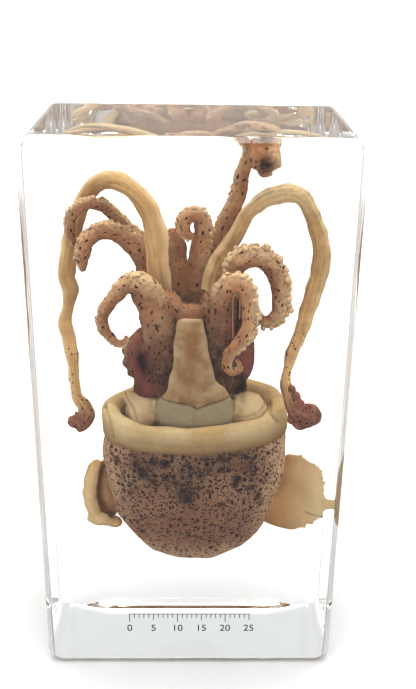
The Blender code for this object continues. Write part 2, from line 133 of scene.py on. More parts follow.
def limbFrame(stations, index, flat):
    # Local X is across the limb as seen from the front, Y is its depth and Z runs along it
    before = Vector(stations[max(index - 1, 0)][:3])
    after = Vector(stations[min(index + 1, len(stations) - 1)][:3])
    along = (after - before).normalized()
    depth = Vector((0.0, 1.0, 0.0))
    depth = (depth - along * depth.dot(along)).normalized()
    turn = Matrix((depth.cross(along), depth, along)).transposed().to_4x4()
    radius = stations[index][3]
    return Matrix.Translation(stations[index][:3]) @ turn @ Matrix.Diagonal((radius, radius * flat, 1.0, 1.0))


def growTube(bm, places, sides):
    # A ring drawn out from place to place, closed at both ends
    ring = bmesh.ops.create_circle(bm, segments=sides, radius=1.0, matrix=places[0])["verts"]
    edges = list({edge for vert in ring for edge in vert.link_edges})
    bmesh.ops.contextual_create(bm, geom=edges)
    rings = [ring]
    for before, after in zip(places, places[1:]):
        grown = bmesh.ops.extrude_edge_only(bm, edges=edges)["geom"]
        ring = [item for item in grown if isinstance(item, bmesh.types.BMVert)]
        members = set(ring)
        edges = [item for item in grown
                 if isinstance(item, bmesh.types.BMEdge) and members.issuperset(item.verts)]
        bmesh.ops.transform(bm, matrix=after @ before.inverted(), verts=ring)
        rings.append(ring)
    bmesh.ops.contextual_create(bm, geom=edges)
    return rings


def growRoute(bm, points, step, flat, sides):
    stations = smoothRoute(points, step)
    return growTube(bm, [limbFrame(stations, index, flat) for index in range(len(stations))], sides)


def addBall(bm, centre, half, segments=24, rings=14):
    place = Matrix.Translation(centre) @ Matrix.Diagonal((*half, 1.0))
    ball = bmesh.ops.create_uvsphere(bm, u_segments=segments, v_segments=rings, radius=1.0, matrix=place)
    return ball["verts"]


def addBalls(bm, balls, segments=24, rings=14):
    for centre, half in balls:
        addBall(bm, centre, half, segments, rings)


def turnProfile(bm, points, axis, merge):
    # A profile turned all the way round an axis through the origin
    verts = [bm.verts.new(point) for point in points]
    edges = [bm.edges.new(pair) for pair in zip(verts, verts[1:])]
    bmesh.ops.spin(bm, geom=verts + edges, cent=(0, 0, 0), axis=axis, dvec=(0, 0, 0),
                   angle=math.radians(360), steps=160, use_merge=True)
    bmesh.ops.remove_doubles(bm, verts=bm.verts, dist=merge)


def outlineReach(outline, middle, angle):
    # Distance from a point inside a closed outline to the outline, in a direction
    direction = Vector((math.cos(angle), math.sin(angle)))
    best = 0.0
    for start, end in zip(outline, outline[1:] + outline[:1]):
        offset = Vector(start) - Vector(middle)
        side = Vector(end) - Vector(start)
        cross = direction.x * side.y - direction.y * side.x
        if abs(cross) < 1e-9:
            continue
        reach = (offset.x * side.y - offset.y * side.x) / cross
        place = (offset.x * direction.y - offset.y * direction.x) / cross
        if reach > 0 and 0 <= place <= 1:
            best = max(best, reach)
    return best


def addPad(bm, outline, middle, y, half, lean=0.0):
    # A cushion with an outline drawn in the front view
    verts = addBall(bm, (0, 0, 0), (1, 1, 1), 48, 24)
    for vert in verts:
        reach = math.hypot(vert.co.x, vert.co.z)
        angle = math.atan2(vert.co.z, vert.co.x)
        edge = reach * outlineReach(outline, middle, angle)
        rise = edge * math.sin(angle)
        depth = y + half * vert.co.y + lean * rise
        vert.co = Vector((middle[0] + edge * math.cos(angle), depth, middle[1] + rise))


def grooveDepth(co, line, width):
    # 1 on a line drawn in the front view, fading over its width
    best = 9.0
    here = Vector((co.x, co.z))
    for start, end in zip(line, line[1:]):
        first = Vector(start)
        side = Vector(end) - first
        share = clamp((here - first).dot(side) / side.length_squared)
        best = min(best, (here - first - side * share).length)
    return math.exp(-(best / width) ** 2)


def withNormals(bm):
    # The points with their normals as they are before any of them moves
    bm.normal_update()
    return [(vert, vert.normal.copy()) for vert in bm.verts]


def pressGrooves(bm, grooves, chosen):
    # Creases drawn in the front view sink into the points that chosen accepts
    for vert, normal in withNormals(bm):
        if chosen(vert.co, normal):
            for line, width, depth in grooves:
                vert.co -= normal * depth * grooveDepth(vert.co, line, width)


def roughen(bm, *swellings):
    # Swellings along the normals, given by size, height and seed
    for size, amount, seed in swellings:
        shift = Vector((seed * 3.1, seed * 1.7, seed * 2.3))
        for vert, normal in withNormals(bm):
            vert.co += normal * amount * noise.noise(vert.co / size + shift)


def asBmesh(bm, modifiers):
    # The bmesh as a list of modifiers leaves it
    mesh = bpy.data.meshes.new("guide")
    bm.to_mesh(mesh)
    bm.free()
    guide = addObject("guide", mesh)
    for kind, values in modifiers:
        modifier = guide.modifiers.new(kind, kind)
        for name, value in values.items():
            setattr(modifier, name, value)
    shaped = bpy.data.meshes.new_from_object(guide.evaluated_get(bpy.context.evaluated_depsgraph_get()))
    bpy.data.objects.remove(guide, do_unlink=True)
    result = bmesh.new()
    result.from_mesh(shaped)
    bpy.data.meshes.remove(shaped)
    return result


def fuse(bm, voxel, rounds):
    # Overlapping shapes become one skin with softened seams
    return asBmesh(bm, [
        ("REMESH", {"mode": "VOXEL", "voxel_size": voxel}),
        ("SMOOTH", {"factor": 0.5, "iterations": rounds}),
    ])


def paint(bm, name, rule):
    # A value at each point, read by the material as an attribute
    layer = bm.verts.layers.float.get(name) or bm.verts.layers.float.new(name)
    for vert in bm.verts:
        vert[layer] = rule(vert.co)


def paintCavities(bm, strength):
    # Painted shade: darker where the skin folds inwards
    bm.normal_update()
    layer = bm.verts.layers.float.get("cavityShade") or bm.verts.layers.float.new("cavityShade")
    for vert in bm.verts:
        if not vert.link_edges:
            continue
        near = [edge.other_vert(vert).co for edge in vert.link_edges]
        size = sum((co - vert.co).length for co in near) / len(near)
        sunk = (sum(near, Vector()) / len(near) - vert.co).dot(vert.normal) / max(size, 0.0001)
        vert[layer] = clamp(strength * sunk)


def patches(places):
    # A rule that is 1 in the middle of each patch and fades with distance
    def strength(co):
        total = 0.0
        for centre, reach, amount in places:
            offset = Vector(co) - Vector(centre)
            spread = sum((part / size) ** 2 for part, size in zip(offset, reach))
            total += amount * math.exp(-spread)
        return min(1.0, total)
    return strength


def paintPatches(bm, table):
    for name, places in table.items():
        paint(bm, name, patches(places))


def finishPiece(bm, name, material, nodes):
    bmesh.ops.scale(bm, vec=(mm, mm, mm), verts=bm.verts)
    mesh = bpy.data.meshes.new(name)
    bm.to_mesh(mesh)
    bm.free()
    mesh.shade_smooth()
    mesh.materials.append(material)
    piece = addObject(name, mesh)
    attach(piece, "root")
    if nodes:
        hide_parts(*nodes)
    print("Made", name, len(mesh.polygons), "faces")
    return piece


# Shader helpers

def addNode(tree, kind, values=None, **settings):
    node = tree.nodes.new(kind)
    for name, value in settings.items():
        setattr(node, name, value)
    for socket, value in (values or {}).items():
        node.inputs[socket].default_value = value
    return node


def rgba(colour):
    # Colours are written as eight-bit screen values
    linear = []
    for part in colour:
        level = part / 255.0
        linear.append(level / 12.92 if level <= 0.04045 else ((level + 0.055) / 1.055) ** 2.4)
    return (*linear, 1.0)


def newGroup(name, inputs, outputs):
    group = bpy.data.node_groups.new(name, "ShaderNodeTree")
    for label, kind, value in inputs:
        socket = group.interface.new_socket(label, in_out="INPUT", socket_type=kind)
        if value is not None:
            socket.default_value = value
    for label, kind in outputs:
        group.interface.new_socket(label, in_out="OUTPUT", socket_type=kind)
    return group, group.nodes.new("NodeGroupInput"), group.nodes.new("NodeGroupOutput")


def wire(tree, links):
    for source, output, target, entry in links:
        tree.links.new(source.outputs[output], target.inputs[entry])


def makeSpots():
    # Dots of uneven size and outline, in a share of the cells
    group, into, out = newGroup("spots", [
        ("Vector", "NodeSocketVector", None),
        ("Scale", "NodeSocketFloat", 1000.0),
        ("Reach", "NodeSocketFloat", 0.3),
        ("Edge", "NodeSocketFloat", 0.08),
        ("Share", "NodeSocketFloat", 0.6),
        ("Wobble", "NodeSocketFloat", 0.00015),
    ], [("Mask", "NodeSocketFloat")])
    wander = addNode(group, "ShaderNodeTexNoise", {"Scale": 2600.0, "Detail": 1.0})
    centred = addNode(group, "ShaderNodeVectorMath", {1: (0.5, 0.5, 0.5)}, operation="SUBTRACT")
    moved = addNode(group, "ShaderNodeVectorMath", operation="SCALE")
    shifted = addNode(group, "ShaderNodeVectorMath", operation="ADD")
    cells = addNode(group, "ShaderNodeTexVoronoi", feature="F1")
    lots = addNode(group, "ShaderNodeSeparateColor")
    size = addNode(group, "ShaderNodeMath", {1: 0.9, 2: 0.35}, operation="MULTIPLY_ADD")
    reach = addNode(group, "ShaderNodeMath", operation="MULTIPLY")
    inner = addNode(group, "ShaderNodeMath", operation="SUBTRACT")
    outer = addNode(group, "ShaderNodeMath", operation="ADD")
    spot = addNode(group, "ShaderNodeMapRange", {"To Min": 1.0, "To Max": 0.0},
                   interpolation_type="SMOOTHSTEP")
    chosen = addNode(group, "ShaderNodeMath", operation="LESS_THAN")
    mask = addNode(group, "ShaderNodeMath", operation="MULTIPLY")
    wire(group, [
        (into, "Vector", wander, "Vector"), (wander, "Color", centred, 0), (centred, 0, moved, 0),
        (into, "Wobble", moved, "Scale"), (into, "Vector", shifted, 0), (moved, 0, shifted, 1),
        (shifted, 0, cells, "Vector"), (into, "Scale", cells, "Scale"), (cells, "Color", lots, 0),
        (lots, 0, size, 0), (size, 0, reach, 0), (into, "Reach", reach, 1), (reach, 0, inner, 0),
        (into, "Edge", inner, 1), (reach, 0, outer, 0), (into, "Edge", outer, 1),
        (cells, "Distance", spot, "Value"), (inner, 0, spot, "From Min"), (outer, 0, spot, "From Max"),
        (lots, 1, chosen, 0), (into, "Share", chosen, 1), (spot, 0, mask, 0), (chosen, 0, mask, 1),
        (mask, 0, out, "Mask"),
    ])
    return group


def makeCloud():
    # Soft uneven patches from 0 to 1
    group, into, out = newGroup("cloud", [
        ("Vector", "NodeSocketVector", None),
        ("Scale", "NodeSocketFloat", 200.0),
        ("Low", "NodeSocketFloat", 0.35),
        ("High", "NodeSocketFloat", 0.65),
    ], [("Value", "NodeSocketFloat")])
    field = addNode(group, "ShaderNodeTexNoise", {"Detail": 4.0, "Roughness": 0.55})
    shaped = addNode(group, "ShaderNodeMapRange", interpolation_type="SMOOTHSTEP")
    wire(group, [
        (into, "Vector", field, "Vector"), (into, "Scale", field, "Scale"), (field, 0, shaped, "Value"),
        (into, "Low", shaped, "From Min"), (into, "High", shaped, "From Max"), (shaped, 0, out, "Value"),
    ])
    return group


spotsGroup = makeSpots()
cloudGroup = makeCloud()


def blend(tree, factor, first, second):
    # A colour mix; colours are given as sockets or as screen values
    mix = addNode(tree, "ShaderNodeMix", data_type="RGBA")
    for socket, value in ((6, first), (7, second)):
        if isinstance(value, tuple):
            mix.inputs[socket].default_value = rgba(value)
        else:
            tree.links.new(value, mix.inputs[socket])
    tree.links.new(factor, mix.inputs[0])
    return mix.outputs[2]


def times(tree, first, second):
    node = addNode(tree, "ShaderNodeMath", operation="MULTIPLY", use_clamp=True)
    for socket, value in enumerate((first, second)):
        if isinstance(value, float):
            node.inputs[socket].default_value = value
        else:
            tree.links.new(value, node.inputs[socket])
    return node.outputs[0]


def groupNode(tree, group, vector, **values):
    node = addNode(tree, "ShaderNodeGroup")
    node.node_tree = group
    for name, value in values.items():
        if isinstance(value, float):
            node.inputs[name].default_value = value
        else:
            tree.links.new(value, node.inputs[name])
    tree.links.new(vector, node.inputs["Vector"])
    return node.outputs[0]


def attribute(tree, name):
    return addNode(tree, "ShaderNodeAttribute", attribute_name=name).outputs["Fac"]


def sloped(tree, value, slope, start):
    node = addNode(tree, "ShaderNodeMath", {1: slope, 2: start}, operation="MULTIPLY_ADD")
    tree.links.new(value, node.inputs[0])
    return node.outputs[0]


def stretched(tree, vector, scales):
    node = addNode(tree, "ShaderNodeVectorMath", {1: scales}, operation="MULTIPLY")
    tree.links.new(vector, node.inputs[0])
    return node.outputs[0]


def setInputs(shader, values):
    for name, value in values.items():
        shader.inputs[name].default_value = value


def newMaterial(name):
    material = bpy.data.materials.new(name)
    material.use_nodes = True
    tree = material.node_tree
    place = addNode(tree, "ShaderNodeTexCoord").outputs["Object"]
    return material, tree, tree.nodes["Principled BSDF"], place


def coverSkin(tree, shader, place, cloud, colour, look):
    # Colour, fine bump, uneven roughness and soft light under the surface
    tree.links.new(colour, shader.inputs["Base Color"])
    grain = addNode(tree, "ShaderNodeTexNoise", {"Scale": look["grain"], "Detail": 3.0})
    bump = addNode(tree, "ShaderNodeBump", {"Strength": look["bump"], "Distance": look["bumpHeight"]})
    low = look["roughness"]
    rough = addNode(tree, "ShaderNodeMapRange", {"To Min": low, "To Max": low + 0.15})
    tree.links.new(place, grain.inputs["Vector"])
    tree.links.new(cloud, rough.inputs["Value"])
    wire(tree, [(grain, 0, bump, "Height"), (bump, 0, shader, "Normal"), (rough, 0, shader, "Roughness")])
    setInputs(shader, {"Specular IOR Level": 0.0, "Subsurface Weight": 0.12, "Subsurface Scale": 0.0008,
                       "Subsurface Radius": (1.0, 0.7, 0.5)})


fleshBase = {
    "body": (210, 160, 118),
    "deep": (184, 132, 94),
    "pale": (240, 212, 172),
    "patches": {},  # colours laid on by painted attributes, in order
    # painted shade colour for the skin's folds
    "fold": (92, 58, 44),
    "dot": (42, 13, 11),
    "big": (50, 20, 20),
    "cloudScale": 260.0,
    "dotScale": 1500.0,
    "dotReach": 0.27,
    "dotShare": 1.0,
    "bigScale": 640.0,
    "bigReach": 0.2,
    "bigShare": 0.4,
    "streaks": 0.0,
    "streakScale": (1300.0, 1300.0, 120.0),
    "roughness": 0.42,
    "bump": 1.0,
    "bumpHeight": 0.0005,
    "grain": 2400.0,
    "dash": (1.0, 1.0, 0.55),  # dots are drawn out along the last direction
    "followLimb": False,
}


def makeFlesh(name, **changes):
    look = {**fleshBase, **changes}
    material, tree, shader, place = newMaterial(name)
    cloud = groupNode(tree, cloudGroup, place, Scale=look["cloudScale"])
    colour = blend(tree, cloud, look["body"], look["deep"])
    way = addNode(tree, "ShaderNodeAttribute", attribute_name="way").outputs["Vector"]
    if look["streaks"]:
        # Fine streaks that run along the limb
        drawn = stretched(tree, way, look["streakScale"])
        streak = groupNode(tree, cloudGroup, drawn, Scale=1.0, Low=0.42, High=0.62)
        colour = blend(tree, times(tree, streak, look["streaks"]), colour, look["streakTone"])
    colour = blend(tree, attribute(tree, "pale"), colour, look["pale"])
    edges = groupNode(tree, cloudGroup, place, Scale=look["cloudScale"] * 2.2, Low=0.2, High=0.6)
    uneven = sloped(tree, edges, 0.5, 0.5)
    for patch, tone in look["patches"].items():
        colour = blend(tree, times(tree, attribute(tree, patch), uneven), colour, tone)
    # painted shade in the folds
    colour = blend(tree, attribute(tree, "cavityShade"), colour, look["fold"])
    speckle = attribute(tree, "speckle")
    dotPlace = stretched(tree, way if look["followLimb"] else place, look["dash"])
    bigDots = groupNode(tree, spotsGroup, dotPlace, Scale=look["bigScale"], Reach=look["bigReach"], Edge=0.06,
                        Share=times(tree, speckle, look["bigShare"]), Wobble=0.0003)
    colour = blend(tree, times(tree, bigDots, 0.85), colour, look["big"])
    dots = groupNode(tree, spotsGroup, dotPlace, Scale=look["dotScale"], Reach=look["dotReach"],
                     Share=times(tree, speckle, look["dotShare"]))
    colour = blend(tree, dots, colour, look["dot"])
    coverSkin(tree, shader, place, cloud, colour, look)
    return material


# Acrylic block

block = {
    "corner": 2.8,  # rounding of the outline seen from the front
    "frontEdge": 1.6,
    "backEdge": 0.15,
    "edgeSteps": 9,
    "edgeShape": 0.42,  # between a flat cut and a round
    "heel": 3.0,  # the bottom bends up to the back over this depth
    "heelRise": 1.7,
    "heelSteps": 8,
    "heelTop": 6.0,  # the bend fades out up to this height
    "heelSides": (18.0, 20.0, 22.0, 24.0),  # and over these distances from the middle
    "glintTone": (0.10, 0.05, 0.02),  # painted reflections: warm glints along the upright front edges
    "glints": [(94.0, 11.0, 0.85), (42.0, 11.0, 0.75), (58.0, 52.0, 0.8)],  # height, reach and strength
    "glintCuts": range(12, 108, 4),
    "thinLine": 0.85,  # strength of the painted reflection line where the rounding starts
    "streaks": (2600.0, 2600.0, 40.0),
    "support": 0.06,  # cuts beside the rounded edges keep the flat faces optically flat
    "ior": 1.49,
    "tint": (0.93, 0.95, 0.94, 1.0),
    "density": 4.0,
}


def makeAcrylic():
    material, tree, shader, place = newMaterial("clear_acrylic")
    drawn = stretched(tree, place, block["streaks"])
    streaks = groupNode(tree, cloudGroup, drawn, Scale=1.0, Low=0.2, High=0.5)
    clear = (1.0, 1.0, 1.0, 1.0)
    # painted reflections tint the rounded front edges in warm streaks
    tint = addNode(tree, "ShaderNodeMix", {6: clear, 7: (*block["glintTone"], 1.0)}, data_type="RGBA")
    tree.links.new(times(tree, attribute(tree, "edge"), streaks), tint.inputs[0])
    tree.links.new(tint.outputs[2], shader.inputs["Base Color"])
    setInputs(shader, {"Roughness": 0.0, "IOR": block["ior"], "Transmission Weight": 1.0})
    depth = addNode(tree, "ShaderNodeVolumeAbsorption", {"Color": block["tint"], "Density": block["density"]})
    tree.links.new(depth.outputs[0], tree.nodes["Material Output"].inputs["Volume"])
    return material


def roundEdges(bm, edges, width):
    bmesh.ops.bevel(bm, geom=edges, offset=width, offset_type="OFFSET", affect="EDGES",
                    segments=block["edgeSteps"], profile=block["edgeShape"], material=-1, clamp_overlap=True)


def cutAcross(bm, axis, value):
    normal = [0.0, 0.0, 0.0]
    normal[axis] = 1.0
    bmesh.ops.bisect_plane(bm, geom=bm.verts[:] + bm.edges[:] + bm.faces[:], dist=0.0001,
                           plane_co=[part * value for part in normal], plane_no=normal)


def makeBlock():
    low, high = (corner / mm for corner in cadBox)
    bm = bmesh.new()
    cube = Matrix.Translation((high + low) / 2) @ Matrix.Diagonal((*(high - low), 1.0))
    bmesh.ops.create_cube(bm, size=1.0, matrix=cube)
    deep = [edge for edge in bm.edges if abs(edge.verts[0].co.y - edge.verts[1].co.y) > 1.0]
    roundEdges(bm, deep, block["corner"])
    for level, width in ((low.y, block["frontEdge"]), (high.y, block["backEdge"])):
        loop = [edge for edge in bm.edges if all(abs(vert.co.y - level) < 0.001 for vert in edge.verts)]
        roundEdges(bm, loop, width)
    inner = block["corner"] + block["support"]
    start = high.y - block["heel"]
    fade = low.z + block["heelTop"]
    cuts = [(0, low.x + inner), (0, high.x - inner), (2, low.z + inner), (2, high.z - inner),
            (1, low.y + block["frontEdge"] + block["support"]),
            (1, high.y - block["backEdge"] - block["support"])]
    count = block["heelSteps"]
    cuts += [(1, start + step * block["heel"] / (count + 0.5)) for step in range(count)]
    cuts.append((2, fade))
    cuts += [(0, value * side) for value in block["heelSides"] for side in (1, -1)]
    for axis, value in cuts:
        cutAcross(bm, axis, value)
    nearSide, farSide = block["heelSides"][0], block["heelSides"][-1]
    for vert in bm.verts:
        if vert.co.y > start and vert.co.z < fade:
            bend = ((vert.co.y - start) / block["heel"]) ** 2
            bend *= clamp((farSide - abs(vert.co.x)) / (farSide - nearSide))
            vert.co.z += block["heelRise"] * bend * (fade - vert.co.z) / (fade - low.z)
    for level in block["glintCuts"]:
        cutAcross(bm, 2, float(level))

    # Painted reflections: warm glints and a thin line on the rounded upright front edges
    def edgeAt(co):
        width = block["frontEdge"]
        beside = max(0.0, (abs(co.x) - high.x + width) / width)
        ahead = max(0.0, (low.y + width - co.y) / width)
        lit = max(amount * math.exp(-((co.z - height) / reach) ** 4)
                  for height, reach, amount in block["glints"])
        thin = block["thinLine"] if 0.0 < beside < 0.2 and ahead > 0.5 else 0.0
        return max(thin, min(1.0, 3.0 * beside * ahead) * lit)

    paint(bm, "edge", edgeAt)
    bmesh.ops.recalc_face_normals(bm, faces=bm.faces)
    return finishPiece(bm, "clear_block", makeAcrylic(), ["block_front", "block_back"])


makeBlock()


# Mantle

mantle = {
    "centreX": 0.8,
    "halfWidth": 18.7,
    "halfDepth": 12.6,
    "bottom": 20.6,
    "widest": 48.0,
    "rim": 57.4,
    "squareness": 2.25,
    "wall": 3.9,
    "hem": 51.1,
    "tiltX": 0.8,
    "tiltY": 2.4,
    "tiltFrom": 40.0,
    "lowerSteps": 60,
    "mouthFloor": 45.0,
    "hemEdge": 0.3,
    "marginBelow": (27.5, 5.5),  # where the margin, paler by painted light and with fewer dots, starts and how far it takes to be full
    "marginBeside": (12.0, 9.0),
    "lipShade": (56.0, 4.5, 0.3),  # the same for the shade under the lip, then its strength behind
    "creases": [
        ([(-17.6, 57.0), (-16.4, 54.6), (-15.6, 51.5)], 0.5, 0.7),
        ([(-12.0, 51.6), (0.0, 51.2), (9.0, 52.0)], 0.6, 0.2),
        ([(15.0, 58.0), (17.2, 55.0)], 0.4, 0.4),
        ([(-16.8, 40.0), (-14.2, 36.0), (-12.0, 33.0)], 0.35, 0.2),
    ],
    "patches": {
        "stain": [((-0.9, -12.6, 40.6), (1.9, 3.0, 2.2), 0.9), ((-0.9, -12.6, 40.6), (3.6, 3.0, 3.8), 0.35)],
        "band": [
            ((6.5, -12.0, 48.0), (8.0, 6.0, 2.8), 1.0), ((-9.0, -10.0, 46.5), (7.0, 6.0, 4.5), 0.9),
            ((12.0, -9.0, 43.0), (5.0, 6.0, 6.0), 0.8), ((-1.0, -12.0, 46.0), (10.0, 6.0, 3.5), 0.6),
            ((-13.0, -8.0, 38.0), (4.0, 6.0, 6.0), 0.6), ((10.0, -8.0, 32.0), (4.0, 4.0, 4.0), 0.5),
            ((2.0, 12.6, 44.0), (14.0, 6.0, 6.0), 0.7),
        ],
        # painted shade on the middle of the bag, front and back
        "middleShade": [((-0.5, -12.0, 33.0), (11.0, 9.0, 9.0), 1.0), ((2.0, 12.0, 34.0), (14.0, 8.0, 10.0), 0.8)],
    },
}


def mantleHalf(z):
    # Half the bag's width at a height, a little squarer than an ellipse
    depth = max(0.0, (mantle["widest"] - z) / (mantle["widest"] - mantle["bottom"]))
    square = mantle["squareness"]
    return mantle["halfWidth"] * max(0.0, 1.0 - depth ** square) ** (1.0 / square)


def mantleProfile():
    # From the floor of the mouth, over the thick lip and the hem, down to the bottom
    wide = mantle["halfWidth"]
    inner = wide - mantle["wall"]
    rim = mantle["rim"]
    hem = mantle["hem"]
    lip = [
        (0.0, 0, 46.0, 0), (inner - 2.0, 0, 46.2, 0), (inner - 0.2, 0, 48.0, 0), (inner, 0, 51.0, 0),
        (inner - 0.1, 0, 54.0, 0), (inner + 0.1, 0, 56.0, 0), (inner + 0.8, 0, rim - 0.25, 0),
        (inner + 1.8, 0, rim, 0), (wide - 1.2, 0, rim - 0.05, 0), (wide - 0.5, 0, rim - 0.6, 0),
        (wide - 0.15, 0, rim - 1.8, 0), (wide - 0.05, 0, 54.2, 0), (wide, 0, 52.8, 0),
        (wide, 0, hem + 0.7, 0), (wide - 0.15, 0, hem + 0.2, 0), (wide - 0.5, 0, hem - 0.05, 0),
        (wide - 0.45, 0, hem - 0.6, 0), (wide - 0.25, 0, hem - 1.5, 0),
    ]
    upper = [(station[0], station[2]) for station in smoothRoute(lip, 0.35)]
    height = mantle["widest"] - mantle["bottom"]
    lower = []
    for step in range(mantle["lowerSteps"]):
        z = mantle["widest"] - height * math.sin(0.5 * math.pi * step / mantle["lowerSteps"])
        lower.append((mantleHalf(z) - 0.1, z))
    return upper + lower + [(0.0, mantle["bottom"])]


def shapeMantle(bm):
    # Flatter front to back, off centre, with the mouth tilted up to the back and the right
    for vert in bm.verts:
        x, y, z = vert.co
        y *= mantle["halfDepth"] / mantle["halfWidth"]
        lift = max(0.0, (z - mantle["tiltFrom"]) / (mantle["rim"] - mantle["tiltFrom"]))
        z += lift * (mantle["tiltX"] * x / mantle["halfWidth"] + mantle["tiltY"] * y / mantle["halfDepth"])
        vert.co = Vector((x + mantle["centreX"], y, z))


def makeMantle():
    bm = bmesh.new()
    turnProfile(bm, [(x, 0.0, z) for x, z in mantleProfile()], (0, 0, 1), 0.005)
    bmesh.ops.recalc_face_normals(bm, faces=bm.faces)
    hem = mantle["hem"]
    wide = mantle["halfWidth"]

    def lipAt(co):
        reach = math.hypot(co.x, co.y)
        wander = 0.5 * noise.noise(Vector((co.x / 2.2, co.y / 2.2, 4.0)))
        wander += 0.35 * noise.noise(Vector((co.x, co.y, 9.0)))
        above = clamp((co.z - hem + mantle["hemEdge"] + wander) / mantle["hemEdge"])
        return above if reach > wide - 1.5 else float(co.z > mantle["mouthFloor"])

    paint(bm, "lip", lipAt)
    shapeMantle(bm)
    roughen(bm, (5.0, 0.45, 1), (1.3, 0.08, 2))
    pressGrooves(bm, mantle["creases"], lambda co, normal: co.y < 0)

    # Painted light: the bottom and sides of the bag are paler, and the dots thin out there
    def marginAt(co):
        top, span = mantle["marginBelow"]
        side, reach = mantle["marginBeside"]
        return clamp(max((top - co.z) / span, (abs(co.x - mantle["centreX"]) - side) / reach))

    def shadeAt(co):
        tilt = mantle["tiltX"] * co.x / wide + mantle["tiltY"] * co.y / mantle["halfDepth"]
        top, span, behind = mantle["lipShade"]
        return clamp((top - co.z + tilt) / span) if co.y < 0 else behind

    paintPatches(bm, mantle["patches"])
    paint(bm, "litMargin", marginAt)
    paintCavities(bm, strength=1.6)
    paint(bm, "shade", shadeAt)
    return finishPiece(bm, "mantle_skin", makeMantleSkin(), ["mantle"])


mantleLook = {
    "cloudScale": 180.0,
    "lipScale": 90.0,
    "skin": (198, 160, 126),
    "skinDeep": (172, 130, 102),
    # the middle's colour is painted shade and the margin's is painted light
    "patches": [("middleShade", 1.0, (158, 115, 90)), ("band", 0.5, (84, 52, 42)), ("litMargin", 1.0, (216, 184, 150)),
                ("stain", 0.8, (38, 15, 18))],
    # painted shade colour for the folds of skin and lip
    "fold": (110, 80, 52),
    "lip": (222, 202, 160),
    "lipDeep": (208, 178, 126),
    "lipShade": (148, 116, 75),
    "dot": (48, 18, 18),
    "blotch": (34, 19, 30),
    "blotches": ((420.0, 0.37, 0.3, 0.0018), (900.0, 0.38, 0.12, 0.0005)),  # scale, reach, edge and wobble
    "dots": ((1750.0, 0.42, 0.95), (2900.0, 0.36, 0.6)),  # scale, reach and share
    "roughness": 0.4,
    "bump": 0.5,
    "bumpHeight": 0.0004,
    "grain": 2200.0,
}


def makeMantleSkin():
    look = mantleLook
    material, tree, shader, place = newMaterial("spotted_mantle")
    cloud = groupNode(tree, cloudGroup, place, Scale=look["cloudScale"])
    skin = blend(tree, cloud, look["skin"], look["skinDeep"])
    for patch, share, tone in look["patches"]:
        skin = blend(tree, times(tree, attribute(tree, patch), share), skin, tone)
    blotchShare = sloped(tree, attribute(tree, "band"), 0.9, 0.1)
    for scale, reach, edge, wobble in look["blotches"]:
        blotches = groupNode(tree, spotsGroup, place, Scale=scale, Reach=reach, Edge=edge, Share=blotchShare,
                             Wobble=wobble)
        skin = blend(tree, times(tree, blotches, 0.95), skin, look["blotch"])
    for scale, reach, share in look["dots"]:
        # fewer dots towards the margin
        fewer = sloped(tree, attribute(tree, "litMargin"), -0.6 * share, share)
        dots = groupNode(tree, spotsGroup, place, Scale=scale, Reach=reach, Edge=0.07, Share=fewer,
                         Wobble=0.0001)
        skin = blend(tree, dots, skin, look["dot"])
    lipCloud = groupNode(tree, cloudGroup, place, Scale=look["lipScale"])
    lip = blend(tree, lipCloud, look["lip"], look["lipDeep"])
    lip = blend(tree, attribute(tree, "shade"), lip, look["lipShade"])
    # painted shade in the lip's folds
    lip = blend(tree, attribute(tree, "cavityShade"), lip, look["fold"])
    colour = blend(tree, attribute(tree, "lip"), skin, lip)
    coverSkin(tree, shader, place, cloud, colour, look)
    return material


makeMantle()


# Head, with the roots of the two front arms as columns on its face

